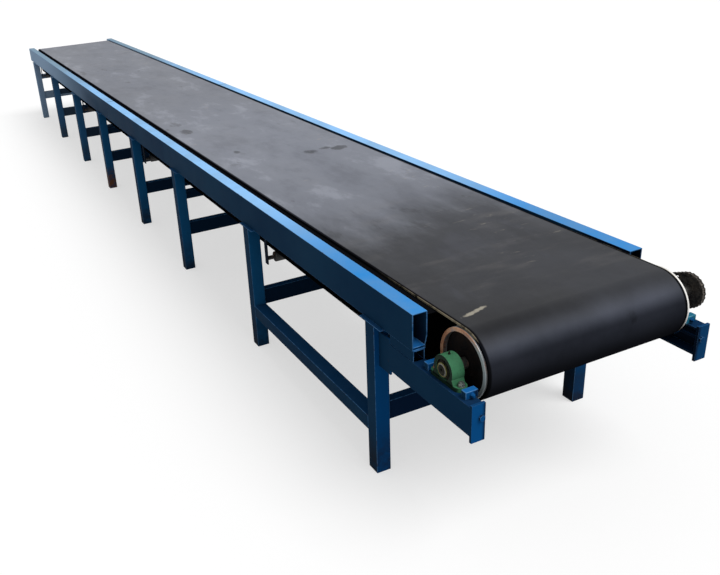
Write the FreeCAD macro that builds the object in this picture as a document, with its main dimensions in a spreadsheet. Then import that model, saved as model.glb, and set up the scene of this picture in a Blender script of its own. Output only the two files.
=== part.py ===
"""Flat belt conveyor on eight welded H frames.

Millimetres. +X runs along the belt towards the driven head end, +Y towards the chain side,
+Z up. The origin is on the floor, in the middle of the box that holds the whole conveyor.
"""
import FreeCAD, Part
import math
import os
import re

V = FreeCAD.Vector
TURN_TO_Y = FreeCAD.Rotation(V(1, 0, 0), -90)
TURN_TO_X = FreeCAD.Rotation(V(0, 1, 0), 90)

# Every driving dimension: alias, value in mm, what it measures.
SIZES = [
    ("line_y", -120, "the rails' centre line, off the box's middle because the drive stands out"),
    ("belt_width", 822, "belt width"),
    ("belt_shift", 11, "belt, head drum and return rollers off that line, to the chain side"),
    ("belt_thick", 8, "belt thickness"),
    ("belt_gap", 0.3, "air between the belt and what it runs on"),
    ("drum_radius", 118, "head and tail drum radius"),
    ("drum_wall", 14, "drum shell thickness"),
    ("drum_z", 640, "height of both shafts"),
    ("head_x", 4054, "head shaft"),
    ("tail_x", -4086, "tail shaft"),
    ("head_drum_over", 6, "head drum past the belt's edge"),
    ("tail_drum_under", 15, "tail drum short of the belt's edge"),
    ("disc_recess", 22, "head drum's end disc, in from its rim"),
    ("disc_thick", 28, "end disc thickness"),
    ("shaft_radius", 20, "shaft radius"),
    ("bore_gap", 0.05, "running clearance of a shaft in a bearing"),
    ("rail_gap", 23, "between the belt's edge and the rail, were the belt in the middle"),
    ("rail_width", 58, "rail width"),
    ("rail_top", 770, "top of the rails"),
    ("rail_bottom", 634, "underside of the rails"),
    ("rail_sheet", 4, "rail sheet thickness"),
    ("rail_slant_z", 680, "where the rail's inner wall starts to slant outwards"),
    ("rail_shelf_z", 648, "where the slanted wall meets the shelf"),
    ("rail_slant_in", 7, "how far the slant moves the inner wall"),
    ("tail_end_x", -4227, "tail end of the rails"),
    ("rail_joint_x", -310, "joint between the two rail sections"),
    ("head_end_x", 3905, "head end of the rails"),
    ("frame_1_face", -3939, "head-end face of the legs, frame 1"),
    ("frame_2_face", -2763, "the same, frame 2"),
    ("frame_3_face", -1636, "the same, frame 3"),
    ("frame_4_face", -628, "the same, frame 4"),
    ("frame_5_face", 406, "the same, frame 5"),
    ("frame_6_face", 1384, "the same, frame 6"),
    ("frame_7_face", 2529, "the same, frame 7"),
    ("frame_8_face", 3684, "the same, frame 8"),
    ("leg_past_rail", 15.5, "legs' outer face past the rail's"),
    ("leg_width", 60, "legs' square tube"),
    ("tube_wall", 3, "wall of the square tubes"),
    ("pad_thick", 4, "plate between a leg and the rail"),
    ("pad_over", 42, "plate past the leg, each way along the rail"),
    ("mid_bar_z", 220, "underside of the lower cross bar"),
    ("mid_bar_high", 80, "lower cross bar height"),
    ("mid_bar_wide", 40, "lower cross bar width"),
    ("upper_bar_z", 450, "underside of the upper cross bar"),
    ("upper_bar_high", 50, "upper cross bar height"),
    ("stretcher_z", 168, "underside of the long stretchers"),
    ("bed_thick", 3, "slider bed sheet"),
    ("bed_start_x", -4026, "tail end of the slider bed"),
    ("bed_bar", 40, "square tube under the slider bed"),
    ("bed_bar_pitch", 540, "spacing of the bars under the bed"),
    ("beam_start_x", 3758, "tail end of the head beams"),
    ("beam_in", 2, "head beam's web in from the rail's outer face"),
    ("beam_flange", 50, "head beam flange width"),
    ("beam_top", 593, "top of the head beams"),
    ("beam_high", 103, "head beam height"),
    ("beam_web", 6, "head beam web and flange thickness"),
    ("plate_face_x", 4219, "outer face of the beams' end plates"),
    ("plate_thick", 10, "end plate thickness"),
    ("plate_low", 468, "bottom of the end plates"),
    ("plate_high", 601, "top of the end plates"),
    ("spacer_in", 2, "head spacer in from the beam's web"),
    ("bearing_in", 35, "bearing's middle in from the head beam's web"),
    ("block_foot", 160, "pillow block foot length"),
    ("block_wide", 46, "pillow block foot width"),
    ("block_foot_high", 15, "pillow block foot thickness"),
    ("block_wall", 26, "pillow block housing past the shaft"),
    ("block_thick", 46, "pillow block housing width"),
    ("foot_bolt_pitch", 130, "spacing of the pillow block's foot bolts"),
    ("collar_wall", 4, "bearing collar past the shaft"),
    ("collar_thick", 3, "bearing collar width"),
    ("collar_gap", 0.5, "between a collar and its pillow block"),
    ("shaft_bare", 2, "head shaft past its near collar"),
    ("head_shaft_past", 24, "head shaft past the chain"),
    ("tail_plate_thick", 10, "tail plate thickness"),
    ("tail_plate_long", 180, "tail plate length"),
    ("tail_plate_drop", 54, "tail plate below the shaft"),
    ("tail_plate_rise", 110, "tail plate above the shaft"),
    ("tail_plate_bore", 4, "tail plate's hole past the shaft"),
    ("tail_shaft_under", 2, "tail shaft short of its plates, at each end"),
    ("flange_wall", 28, "tail bearing past the shaft"),
    ("flange_thick", 18, "tail bearing width"),
    ("stop_long", 24, "stop block length along the beam"),
    ("stop_gap", 14, "head stop from the pillow block's foot, room for its jack screw"),
    ("stop_high", 26, "stop block height"),
    ("screw_radius", 6, "take-up screw radius"),
    ("screw_z", 552, "take-up screw height"),
    ("nut_over", 5, "take-up screw's head past the screw"),
    ("nut_thick", 8, "thickness of that head"),
    ("slider_wide", 30, "take-up slider width and height"),
    ("slider_over", 10, "slider past the foot bolts, each way"),
    ("chain_out", 82, "chain past the head beam's web"),
    ("chain_pitch", 15.875, "chain pitch"),
    ("roller_radius", 4.6, "chain roller radius"),
    ("seat_gap", 0.85, "sprocket tooth gap past the chain roller"),
    ("chain_inside", 10.6, "gap between the chain's plates"),
    ("chain_plate", 2, "chain plate thickness"),
    ("chain_half_high", 7, "half the chain's height"),
    ("tooth_thick", 8.6, "sprocket thickness"),
    ("tooth_over", 2.2, "tooth tip past the pitch circle"),
    ("tooth_lean", 0.4, "how far a tooth's flank leans back past its seat"),
    ("hub_wall", 12, "head sprocket hub past the shaft"),
    ("hub_long", 16, "head sprocket hub length"),
    ("pinion_hub_wall", 8, "motor sprocket hub past its shaft"),
    ("pinion_hub_long", 12, "motor sprocket hub length"),
    ("idler_radius", 25, "return roller radius"),
    ("idler_over", 5, "return roller past the belt's edge"),
    ("idler_past", 58, "return roller past its frame's face"),
    ("spindle_radius", 10, "return roller spindle, across its corners"),
    ("strap_gap", 15, "return bracket past its roller's far end"),
    ("strap_thick", 6, "return bracket plate thickness"),
    ("strap_wide", 28, "return bracket width"),
    ("strap_under", 28, "return bracket below its roller's axis"),
    ("strap_foot", 40, "return bracket's foot under the rail"),
    ("gear_gap", 30, "gearbox's inner face past the chain"),
    ("gear_wide", 110, "gearbox width"),
    ("gear_long", 150, "gearbox length"),
    ("gear_high", 160, "gearbox height above its foot"),
    ("gear_rise", 95, "gearbox shaft above the shelf"),
    ("gear_round", 14, "radius of the gearbox's edges"),
    ("gear_foot", 12, "gearbox foot thickness"),
    ("gear_foot_over", 25, "gearbox foot past the case"),
    ("gear_shaft", 12, "gearbox shaft radius"),
    ("motor_radius", 62, "motor radius"),
    ("motor_long", 230, "motor length"),
    ("motor_rise", 5, "motor axis above the gearbox shaft"),
    ("terminal_long", 80, "terminal box length"),
    ("terminal_wide", 70, "terminal box width"),
    ("terminal_high", 32, "terminal box above the motor"),
    ("terminal_back", 50, "terminal box from the gearbox"),
    ("shelf_over", 35.5, "motor shelf past the gearbox"),
    ("shelf_in", 8, "motor shelf's back plate in from the rail's outer face"),
    ("shelf_past", 20, "motor shelf past the motor and the gearbox foot"),
    ("shelf_thick", 10, "motor shelf thickness"),
    ("gusset_high", 60, "gusset under the motor shelf"),
    ("tool_over", 1, "how far a cutting tool reaches past what it cuts"),
]

# Places worked out from the sheet: y is taken out from the rails' centre line.
PLACES = [
    ("belt_y", "line_y + belt_shift"),
    ("belt_edge", "belt_width / 2"),
    ("head_drum_half", "belt_edge + head_drum_over"),
    ("tail_drum_half", "belt_edge - tail_drum_under"),
    ("idler_half", "belt_edge + idler_over"),
    ("rail_in", "belt_edge + rail_gap"),
    ("rail_out", "rail_in + rail_width"),
    ("leg_out", "rail_out + leg_past_rail"),
    ("leg_in", "leg_out - leg_width"),
    ("beam_out", "rail_out - beam_in"),
    ("bearing_y", "beam_out - bearing_in"),
    ("block_face", "bearing_y + block_thick / 2"),
    ("chain_y", "beam_out + chain_out"),
    ("gear_y", "chain_y + gear_gap"),
    ("shelf_y", "gear_y + gear_wide + shelf_over"),
    ("bed_top", "drum_z + drum_radius"),
    ("collar_radius", "shaft_radius + collar_wall"),
    ("block_round", "shaft_radius + block_wall"),
    ("flange_radius", "shaft_radius + flange_wall"),
    ("nut_radius", "screw_radius + nut_over"),
    ("seat_radius", "roller_radius + seat_gap"),
    ("hub_radius", "shaft_radius + hub_wall"),
    ("pinion_hub_radius", "gear_shaft + pinion_hub_wall"),
    ("strap_out", "idler_half + belt_shift + strap_gap"),
    ("idler_z", "drum_z - drum_radius - 2 * belt_gap - belt_thick - idler_radius"),
]

# One row per H frame. Its return roller hangs beside it, on its head side.
FRAMES = [
    {"number": 1, "upper_bar": True, "return_roller": True},
    {"number": 2, "upper_bar": True, "return_roller": False},
    {"number": 3, "upper_bar": True, "return_roller": True},
    {"number": 4, "upper_bar": True, "return_roller": False},
    {"number": 5, "upper_bar": True, "return_roller": True},
    {"number": 6, "upper_bar": True, "return_roller": False},
    {"number": 7, "upper_bar": False, "return_roller": True},
    {"number": 8, "upper_bar": False, "return_roller": False},
]

# Sprocket teeth. Both counts divide by 12, so that a 30 degree step brings tooth to tooth.
HEAD_TEETH = 24
MOTOR_TEETH = 12

# Pitches on the chain's straight upper strand, and its slope down to the motor in degrees.
CHAIN_STEPS = 41
CHAIN_FALL = 20

# side -1 is the near side of the photograph, +1 the chain side.
SIDES = {"near": -1, "far": 1}

doc = FreeCAD.newDocument("belt_conveyor")
sheet = doc.addObject("Spreadsheet::Sheet", "Sizes")
for line, (alias, value, note) in enumerate(SIZES, 1):
    sheet.set(f"A{line}", note)
    sheet.set(f"B{line}", str(value))
    sheet.setAlias(f"B{line}", alias)
doc.recompute()
OWNERS = {alias: "Sizes" for alias, _, _ in SIZES}
places = doc.addObject("App::FeaturePython", "Places")


def size(name):
    """A named size or place, read back from the document."""
    return float(getattr(doc.getObject(OWNERS[name]), name))


def linked(text):
    """An expression in which each name points at the sheet or the places."""
    return re.sub(r"[a-z_][a-z_0-9]*",
                  lambda word: f"{OWNERS[word[0]]}.{word[0]}" if word[0] in OWNERS else word[0],
                  str(text))


for name, text in PLACES:
    places.addProperty("App::PropertyFloat", name)
    places.setExpression(name, linked(text))
    doc.recompute()
    OWNERS[name] = "Places"


def bind(piece, sizes, at):
    """Bind a piece's own sizes and its place to the sheet."""
    for name, text in sizes.items():
        piece.setExpression(name, linked(text))
    for letter, text in zip("xyz", at):
        piece.setExpression("Placement.Base." + letter, linked(text))
    return piece


def box(name, long, wide, high, at):
    """A box from its lowest corner."""
    piece = doc.addObject("Part::Box", name)
    return bind(piece, {"Length": long, "Width": wide, "Height": high}, at)


def rod(name, radius, long, at, turn=TURN_TO_Y):
    """A cylinder that runs along +Y, or along +X or +Z when turned so."""
    piece = doc.addObject("Part::Cylinder", name)
    piece.Placement.Rotation = turn
    return bind(piece, {"Radius": radius, "Height": long}, at)


def hexagon(name, radius, long, at, turn=TURN_TO_Y):
    """A six-sided bar along +Y, or along +X when turned so, this radius out to its corners."""
    piece = doc.addObject("Part::Prism", name)
    piece.Placement.Rotation = turn
    piece.Polygon = 6
    return bind(piece, {"Circumradius": radius, "Height": long}, at)


def cut(name, base, tool):
    """base with tool taken away."""
    piece = doc.addObject("Part::Cut", name)
    piece.Base = base
    piece.Tool = tool
    return piece


def fuse(name, pieces):
    """Several pieces welded into one."""
    piece = doc.addObject("Part::MultiFuse", name)
    piece.Shapes = pieces
    return piece


def group(name, pieces):
    """Like pieces that don't touch, kept as one node."""
    piece = doc.addObject("Part::Compound", name)
    piece.Links = pieces
    return piece


def square_tube(name, along, long, wide, high, at):
    """A square or rectangular tube, open at both ends."""
    wall = "tube_wall"
    sizes = [long, wide, high]
    inner = [f"({text}) - 2 * {wall}" for text in sizes]
    start = [f"({text}) + {wall}" for text in at]
    axis = "xyz".index(along)
    inner[axis] = f"({sizes[axis]}) + 2 * tool_over"
    start[axis] = f"({at[axis]}) - tool_over"
    return cut(name, box(name + "_skin", *sizes, at), box(name + "_hollow", *inner, start))


def profile_body(name, plane, outlines, long, at):
    """A PartDesign body: closed outlines on one of its planes, padded to length."""
    body = doc.addObject("PartDesign::Body", name)
    sketch = body.newObject("Sketcher::SketchObject", name + "_outline")
    face = [part for part in body.Origin.OriginFeatures if part.Role == plane][0]
    sketch.AttachmentSupport = (face, [""])
    sketch.MapMode = "FlatFace"
    for edges in outlines:
        for edge in edges:
            sketch.addGeometry(edge, False)
    pad = body.newObject("PartDesign::Pad", name + "_pad")
    pad.Profile = sketch
    pad.setExpression("Length", linked(long))
    return bind(body, {}, at)


def polygon(points):
    """The closed run of straight edges through the points of a sketch."""
    corners = [V(across, up, 0) for across, up in points]
    return [Part.LineSegment(a, b) for a, b in zip(corners, corners[1:] + corners[:1])]


def shaped(name, shape):
    """A feature whose shape comes from Part's own functions."""
    piece = doc.addObject("Part::Feature", name)
    piece.Shape = shape
    return piece


def span(side, low, high):
    """Where a piece starts in y: it reaches from low to high out from the centre line."""
    return f"line_y + ({low})" if side > 0 else f"line_y - ({high})"


def loop_outline(radius):
    """The run round both drums at this radius: two straights and two half turns."""
    head, tail, height = size("head_x"), size("tail_x"), size("drum_z")
    up, quarter = V(0, radius, 0), math.pi / 2
    right, left = V(head, height, 0), V(tail, height, 0)
    out = V(0, 0, 1)
    return [
        Part.LineSegment(left + up, right + up),
        Part.ArcOfCircle(Part.Circle(right, out, radius), -quarter, quarter),
        Part.LineSegment(right - up, left - up),
        Part.ArcOfCircle(Part.Circle(left, out, radius), quarter, 3 * quarter),
    ]


def make_belt():
    """The endless belt, its two straights and the wraps round both drums."""
    inner = size("drum_radius") + size("belt_gap")
    outlines = [loop_outline(inner + size("belt_thick")), loop_outline(inner)]
    return profile_body("belt", "XZ_Plane", outlines, "belt_width",
                        (0, "belt_y + belt_width / 2", 0))


def rail_outline(side):
    """The rail's bent sheet: outer wall, top, inner wall that slants back in, and shelf."""
    out, inner, sheet_thick = size("rail_out"), size("rail_in"), size("rail_sheet")
    top, bottom = size("rail_top"), size("rail_bottom")
    slant, shelf, slant_in = size("rail_slant_z"), size("rail_shelf_z"), size("rail_slant_in")
    skin = [(out, bottom), (out, top), (inner, top), (inner, slant), (inner + slant_in, shelf),
            (inner + slant_in, bottom)]
    edge = out - sheet_thick
    wall = inner + sheet_thick
    hollow = [(edge, shelf), (edge, top - sheet_thick), (wall, top - sheet_thick), (wall, slant),
              (wall + slant_in, shelf)]
    lower = [(edge, bottom + sheet_thick), (edge, shelf - sheet_thick),
             (wall + slant_in, shelf - sheet_thick), (wall + slant_in, bottom + sheet_thick)]
    return [polygon([(side * across, up) for across, up in line]) for line in (skin, hollow, lower)]


def make_rails():
    """Each side rail comes in two sections that butt at the joint."""
    rails = []
    for where, side in SIDES.items():
        for part, start, end in (("tail", "tail_end_x", "rail_joint_x"),
                                 ("head", "rail_joint_x", "head_end_x")):
            rails.append(profile_body(f"{where}_rail_{part}", "YZ_Plane", rail_outline(side),
                                      f"{end} - {start}", (start, "line_y", 0)))
    return rails


def make_frame(frame):
    """One H frame: two legs, their plates under the rails and the cross bars."""
    name = f"frame_{frame['number']}"
    face = name + "_face"
    pieces = []
    for where, side in SIDES.items():
        leg_y = span(side, "leg_in", "leg_out")
        pieces.append(square_tube(f"{name}_{where}_leg", "z", "leg_width", "leg_width",
                                  "rail_bottom - pad_thick", (f"{face} - leg_width", leg_y, 0)))
        pieces.append(box(f"{name}_{where}_pad", "leg_width + 2 * pad_over", "leg_width",
                          "pad_thick", (f"{face} - leg_width - pad_over", leg_y,
                                        "rail_bottom - pad_thick")))
    across = "2 * leg_in"
    start = "line_y - leg_in"
    bar_x = f"{face} - (leg_width + mid_bar_wide) / 2"
    pieces.append(square_tube(name + "_mid_bar", "y", "mid_bar_wide", across, "mid_bar_high",
                              (bar_x, start, "mid_bar_z")))
    if frame["upper_bar"]:
        pieces.append(square_tube(name + "_upper_bar", "y", "mid_bar_wide", across,
                                  "upper_bar_high", (bar_x, start, "upper_bar_z")))
    return fuse(f"leg_frame_{frame['number']}", pieces)


def make_stretchers():
    """The long tubes between the last two frames, low on the legs."""
    return [square_tube(f"{where}_stretcher", "x", "frame_8_face - leg_width - frame_7_face",
                        "leg_width", "leg_width",
                        ("frame_7_face", span(side, "leg_in", "leg_out"), "stretcher_z"))
            for where, side in SIDES.items()]


def make_bed():
    """The slider bed that carries the belt, and the bars under it."""
    bed = box("slider_bed", "head_end_x - bed_start_x", "2 * rail_in", "bed_thick",
              ("bed_start_x", "line_y - rail_in", "bed_top - bed_thick"))
    reach = size("head_end_x") - size("bed_start_x")
    count = int(reach // size("bed_bar_pitch"))
    spare = (reach - (count - 1) * size("bed_bar_pitch")) / 2
    bars = [square_tube(f"bed_bar_{number}", "y", "bed_bar", "2 * rail_in", "bed_bar",
                        (f"bed_start_x + {spare} + {number} * bed_bar_pitch - bed_bar / 2",
                         "line_y - rail_in", "bed_top - bed_thick - bed_bar"))
            for number in range(count)]
    return [bed, group("bed_bars", bars)]


def make_drum(name, x, middle, half, recess):
    """A drum: its shell and two thick end discs, bored for the shaft."""
    pieces = [cut(name + "_shell",
                  rod(name + "_skin", "drum_radius", f"2 * {half}",
                      (x, f"{middle} - {half}", "drum_z")),
                  rod(name + "_hollow", "drum_radius - drum_wall", f"2 * ({half} + tool_over)",
                      (x, f"{middle} - {half} - tool_over", "drum_z")))]
    outer = f"({half} - {recess})"
    for where, start in (("near", f"{middle} - {outer}"),
                         ("far", f"{middle} + {outer} - disc_thick")):
        pieces.append(rod(f"{name}_{where}_disc", "drum_radius - drum_wall", "disc_thick",
                          (x, start, "drum_z")))
    solid = fuse(name + "_welded", pieces)
    bore = rod(name + "_bore", "shaft_radius", f"2 * {half}", (x, f"{middle} - {half}", "drum_z"))
    return cut(name, solid, bore)


def make_shafts():
    """The head shaft reaches through both bearings to the sprocket, the tail shaft doesn't."""
    near_end = "block_face + collar_gap + collar_thick + shaft_bare"
    head = rod("head_shaft", "shaft_radius", f"{near_end} + chain_y + head_shaft_past",
               ("head_x", f"line_y - ({near_end})", "drum_z"))
    tail_end = "rail_in - tail_plate_thick - tail_shaft_under"
    tail = rod("tail_shaft", "shaft_radius", f"2 * ({tail_end})",
               ("tail_x", f"line_y - ({tail_end})", "drum_z"))
    return [head, tail]


def make_collars():
    """The locking collars of the head bearings, which turn with the shaft."""
    collars = []
    for where, side in SIDES.items():
        start = "block_face + collar_gap"
        end = f"{start} + collar_thick"
        ring = rod(f"{where}_collar_skin", "collar_radius", "collar_thick",
                   ("head_x", span(side, start, end), "drum_z"))
        hole = rod(f"{where}_collar_hole", "shaft_radius", "collar_thick + 2 * tool_over",
                   ("head_x", span(side, f"{start} - tool_over", f"{end} + tool_over"), "drum_z"))
        collars.append(cut(f"{where}_collar", ring, hole))
    return group("head_shaft_collars", collars)


def make_head_beams():
    """Channels under the rails' ends, web outwards, each with an end plate."""
    beams = []
    out, flange, web = size("beam_out"), size("beam_flange"), size("beam_web")
    top, low = size("beam_top"), size("beam_top") - size("beam_high")
    for where, side in SIDES.items():
        line = [(out, low), (out, top), (out - flange, top), (out - flange, top - web),
                (out - web, top - web), (out - web, low + web), (out - flange, low + web),
                (out - flange, low)]
        channel = profile_body(f"{where}_channel", "YZ_Plane",
                               [polygon([(side * across, up) for across, up in line])],
                               "plate_face_x - plate_thick - beam_start_x",
                               ("beam_start_x", "line_y", 0))
        plate = box(f"{where}_end_plate", "plate_thick", "beam_flange", "plate_high - plate_low",
                    ("plate_face_x - plate_thick", span(side, "beam_out - beam_flange", "beam_out"),
                     "plate_low"))
        hole = rod(f"{where}_end_plate_hole", "screw_radius", "plate_thick + 2 * tool_over",
                   ("plate_face_x - plate_thick - tool_over",
                    span(side, "bearing_y", "bearing_y"), "screw_z"), TURN_TO_X)
        beams.append(fuse(f"{where}_head_beam",
                          [channel, cut(f"{where}_drilled_plate", plate, hole)]))
    return beams


def make_head_spacers():
    """Box sections between the rails' undersides and the head beams."""
    return [square_tube(f"{where}_head_spacer", "x", "head_end_x - beam_start_x",
                        "beam_flange - 3 * spacer_in", "rail_bottom - beam_top",
                        ("beam_start_x", span(side, "beam_out - beam_flange + 2 * spacer_in",
                                              "beam_out - spacer_in"), "beam_top"))
            for where, side in SIDES.items()]


def make_pillow_block(where, side):
    """A pillow block bearing: foot, housing and round bore."""
    name = f"{where}_head_bearing"
    foot = box(name + "_foot", "block_foot", "block_wide", "block_foot_high",
               ("head_x - block_foot / 2",
                span(side, "bearing_y - block_wide / 2", "bearing_y + block_wide / 2"), "beam_top"))
    middle = span(side, "bearing_y - block_thick / 2", "bearing_y + block_thick / 2")
    stem = box(name + "_stem", "2 * block_round", "block_thick", "drum_z - beam_top",
               ("head_x - block_round", middle, "beam_top"))
    round_part = rod(name + "_round", "block_round", "block_thick", ("head_x", middle, "drum_z"))
    bore = rod(name + "_bore", "shaft_radius + bore_gap", "block_thick + 2 * tool_over",
               ("head_x", span(side, "bearing_y - block_thick / 2 - tool_over",
                               "bearing_y + block_thick / 2 + tool_over"), "drum_z"))
    return cut(name, fuse(name + "_cast", [foot, stem, round_part]), bore)


def make_take_ups():
    """Stops at both ends of each pillow block, and the slider and screw in the beam."""
    nodes = []
    for where, side in SIDES.items():
        wide = span(side, "bearing_y - block_wide / 2", "bearing_y + block_wide / 2")
        stops = [box(f"{where}_stop_{end}", "stop_long", "block_wide", "stop_high",
                     (start, wide, "beam_top"))
                 for end, start in (("tail", "head_x - block_foot / 2 - stop_long"),
                                    ("head", "head_x + block_foot / 2 + stop_gap"))]
        nodes.append(group(f"{where}_bearing_stops", stops))
        start = "head_x - foot_bolt_pitch / 2 - slider_over"
        end = "head_x + foot_bolt_pitch / 2 + slider_over"
        slider = box(f"{where}_slider", f"({end}) - ({start})", "slider_wide", "slider_wide",
                     (start, span(side, "bearing_y - slider_wide / 2",
                                  "bearing_y + slider_wide / 2"), "screw_z - slider_wide / 2"))
        middle = span(side, "bearing_y", "bearing_y")
        screw = rod(f"{where}_screw", "screw_radius", f"plate_face_x + nut_thick - ({end})",
                    (end, middle, "screw_z"), TURN_TO_X)
        nut = hexagon(f"{where}_screw_head", "nut_radius", "nut_thick",
                      ("plate_face_x", middle, "screw_z"), TURN_TO_X)
        nodes.append(fuse(f"{where}_take_up", [slider, screw, nut]))
    return nodes


def make_tail_supports():
    """Plates on the rails' inner walls at the tail, each with a square flange bearing."""
    nodes = []
    face = "rail_in - tail_plate_thick"
    inner = f"{face} - flange_thick"
    for where, side in SIDES.items():
        plate = box(f"{where}_tail_plate_skin", "tail_plate_long", "tail_plate_thick",
                    "tail_plate_drop + tail_plate_rise",
                    ("tail_x - tail_plate_long / 2", span(side, face, "rail_in"),
                     "drum_z - tail_plate_drop"))
        hole = rod(f"{where}_tail_plate_hole", "shaft_radius + tail_plate_bore",
                   "tail_plate_thick + 2 * tool_over",
                   ("tail_x", span(side, f"{face} - tool_over", "rail_in + tool_over"),
                    "drum_z"))
        nodes.append(cut(f"{where}_tail_plate", plate, hole))
        housing = box(f"{where}_tail_housing", "2 * flange_radius", "flange_thick",
                      "2 * flange_radius", ("tail_x - flange_radius", span(side, inner, face),
                                            "drum_z - flange_radius"))
        bore = rod(f"{where}_tail_bore", "shaft_radius + bore_gap",
                   "flange_thick + 2 * tool_over",
                   ("tail_x", span(side, f"{inner} - tool_over", f"{face} + tool_over"),
                    "drum_z"))
        nodes.append(cut(f"{where}_tail_bearing", housing, bore))
    return nodes


def make_return_rollers():
    """Plain rollers under the return strand, on brackets that hang from the rails."""
    rollers = []
    brackets = []
    for number in [frame["number"] for frame in FRAMES if frame["return_roller"]]:
        x = f"frame_{number}_face + idler_past"
        drum = rod(f"idler_{number}_drum", "idler_radius", "2 * idler_half",
                   (x, "belt_y - idler_half", "idler_z"))
        spindle = hexagon(f"idler_{number}_spindle", "spindle_radius", "2 * strap_out",
                          (x, "line_y - strap_out", "idler_z"))
        rollers.append(fuse(f"idler_{number}", [drum, spindle]))
        for where, side in SIDES.items():
            start = f"{x} - strap_wide / 2"
            low = "idler_z - strap_under"
            strap = box(f"idler_{number}_{where}_strap", "strap_wide", "strap_thick",
                        f"rail_bottom - ({low})",
                        (start, span(side, "strap_out", "strap_out + strap_thick"), low))
            foot = box(f"idler_{number}_{where}_foot", "strap_wide", "strap_foot", "strap_thick",
                       (start, span(side, "strap_out", "strap_out + strap_foot"),
                        "rail_bottom - strap_thick"))
            brackets.append(fuse(f"idler_{number}_{where}_bracket", [strap, foot]))
    return [group("return_rollers", rollers), group("return_brackets", brackets)]


def pitch_radius(teeth):
    """Pitch circle of a sprocket."""
    return size("chain_pitch") / (2 * math.sin(math.pi / teeth))


def strand():
    """Length of the chain's straight strand, and how much the pitch circles differ."""
    return (CHAIN_STEPS * size("chain_pitch"),
            pitch_radius(HEAD_TEETH) - pitch_radius(MOTOR_TEETH))


def tangent_turn():
    """Angle in degrees from the line of centres out to where the chain's strands touch."""
    reach, drop = strand()
    return 90 + math.degrees(math.atan2(drop, reach))


def motor_centre():
    """The motor sprocket's centre, from the head shaft along the sloping chain."""
    apart = math.hypot(*strand())
    fall = math.radians(CHAIN_FALL)
    return V(size("head_x") - apart * math.cos(fall), 0, size("drum_z") - apart * math.sin(fall))


def around(centre, radius, degrees):
    """A point on a circle that faces the near side."""
    turn = math.radians(degrees)
    return centre + V(radius * math.cos(turn), 0, radius * math.sin(turn))


def sprocket_outline(centre, teeth):
    """The toothed edge: round each roller's seat in three flats, then over the tooth's tip."""
    seat = size("seat_radius")
    tip = pitch_radius(teeth) + size("tooth_over")
    tip_turn = math.degrees(math.atan2(seat + size("tooth_lean"), tip))
    points = []
    for number in range(teeth):
        turn = CHAIN_FALL + tangent_turn() + number * 360 / teeth
        roller = around(centre, pitch_radius(teeth), turn)
        points.append(around(centre, tip, turn - tip_turn))
        points += [around(roller, seat, turn + 180 + bend) for bend in (90, 30, -30, -90)]
        points.append(around(centre, tip, turn + tip_turn))
    return points


def sprocket_shape(centre, teeth, bore, hub_radius, hub_long):
    """A toothed disc, its gaps in step with the chain, with a hub on its far side."""
    middle = size("line_y") + size("chain_y")
    thick = size("tooth_thick")
    along = V(0, 1, 0)
    low = V(centre.x, middle - thick / 2, centre.z)
    outline = sprocket_outline(low, teeth)
    toothed = Part.Face(Part.makePolygon(outline + outline[:1])).extrude(along * thick)
    hub = Part.makeCylinder(hub_radius, hub_long, low + along * thick, along)
    over = size("tool_over")
    hole = Part.makeCylinder(bore, thick + hub_long + 2 * over, low - along * over, along)
    return toothed.fuse(hub).cut(hole)


def chain_band(offset, start_y):
    """One side plate's loop at this offset from the pitch line, as a flat face."""
    head = V(size("head_x"), start_y, size("drum_z"))
    motor = motor_centre() + V(0, start_y, 0)
    large, small = pitch_radius(HEAD_TEETH) + offset, pitch_radius(MOTOR_TEETH) + offset
    fall, touch = CHAIN_FALL, tangent_turn()
    head_top, head_low = around(head, large, fall + touch), around(head, large, fall - touch)
    motor_top, motor_low = around(motor, small, fall + touch), around(motor, small, fall - touch)
    return Part.Wire([
        Part.LineSegment(motor_top, head_top).toShape(),
        Part.Arc(head_top, around(head, large, fall), head_low).toShape(),
        Part.LineSegment(head_low, motor_low).toShape(),
        Part.Arc(motor_low, around(motor, small, fall + 180), motor_top).toShape(),
    ])


def chain_places():
    """Centres of the chain's rollers, in step with the gaps of both sprockets."""
    head, motor = V(size("head_x"), 0, size("drum_z")), motor_centre()
    large, small = pitch_radius(HEAD_TEETH), pitch_radius(MOTOR_TEETH)
    fall, touch, steps = CHAIN_FALL, tangent_turn(), CHAIN_STEPS
    motor_top, head_top = around(motor, small, fall + touch), around(head, large, fall + touch)
    places = [motor_top + (head_top - motor_top) * (number / steps) for number in range(steps)]
    head_turn, motor_turn = 360 / HEAD_TEETH, 360 / MOTOR_TEETH
    head_half, motor_half = HEAD_TEETH // 2, MOTOR_TEETH // 2
    places += [around(head, large, fall + touch - number * head_turn)
               for number in range(head_half + 1)]
    places += [around(motor, small, fall + touch + number * motor_turn)
               for number in range(1, motor_half)]
    head_low, motor_low = around(head, large, fall - touch), around(motor, small, fall - touch)
    left_on_head = math.radians(2 * touch - head_half * head_turn) * large
    left_on_motor = math.radians(360 - 2 * touch - (motor_half - 1) * motor_turn) * small
    straight = (head_low - motor_low).Length
    count = round((left_on_head + straight + left_on_motor) / size("chain_pitch"))
    step = (left_on_head + straight + left_on_motor) / count
    for number in range(1, count):
        run = number * step - left_on_head
        if run > straight:
            turn = fall - touch - math.degrees((run - straight) / small)
            places.append(around(motor, small, turn))
        elif run > 0:
            places.append(head_low + (motor_low - head_low) * (run / straight))
    return places


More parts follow.
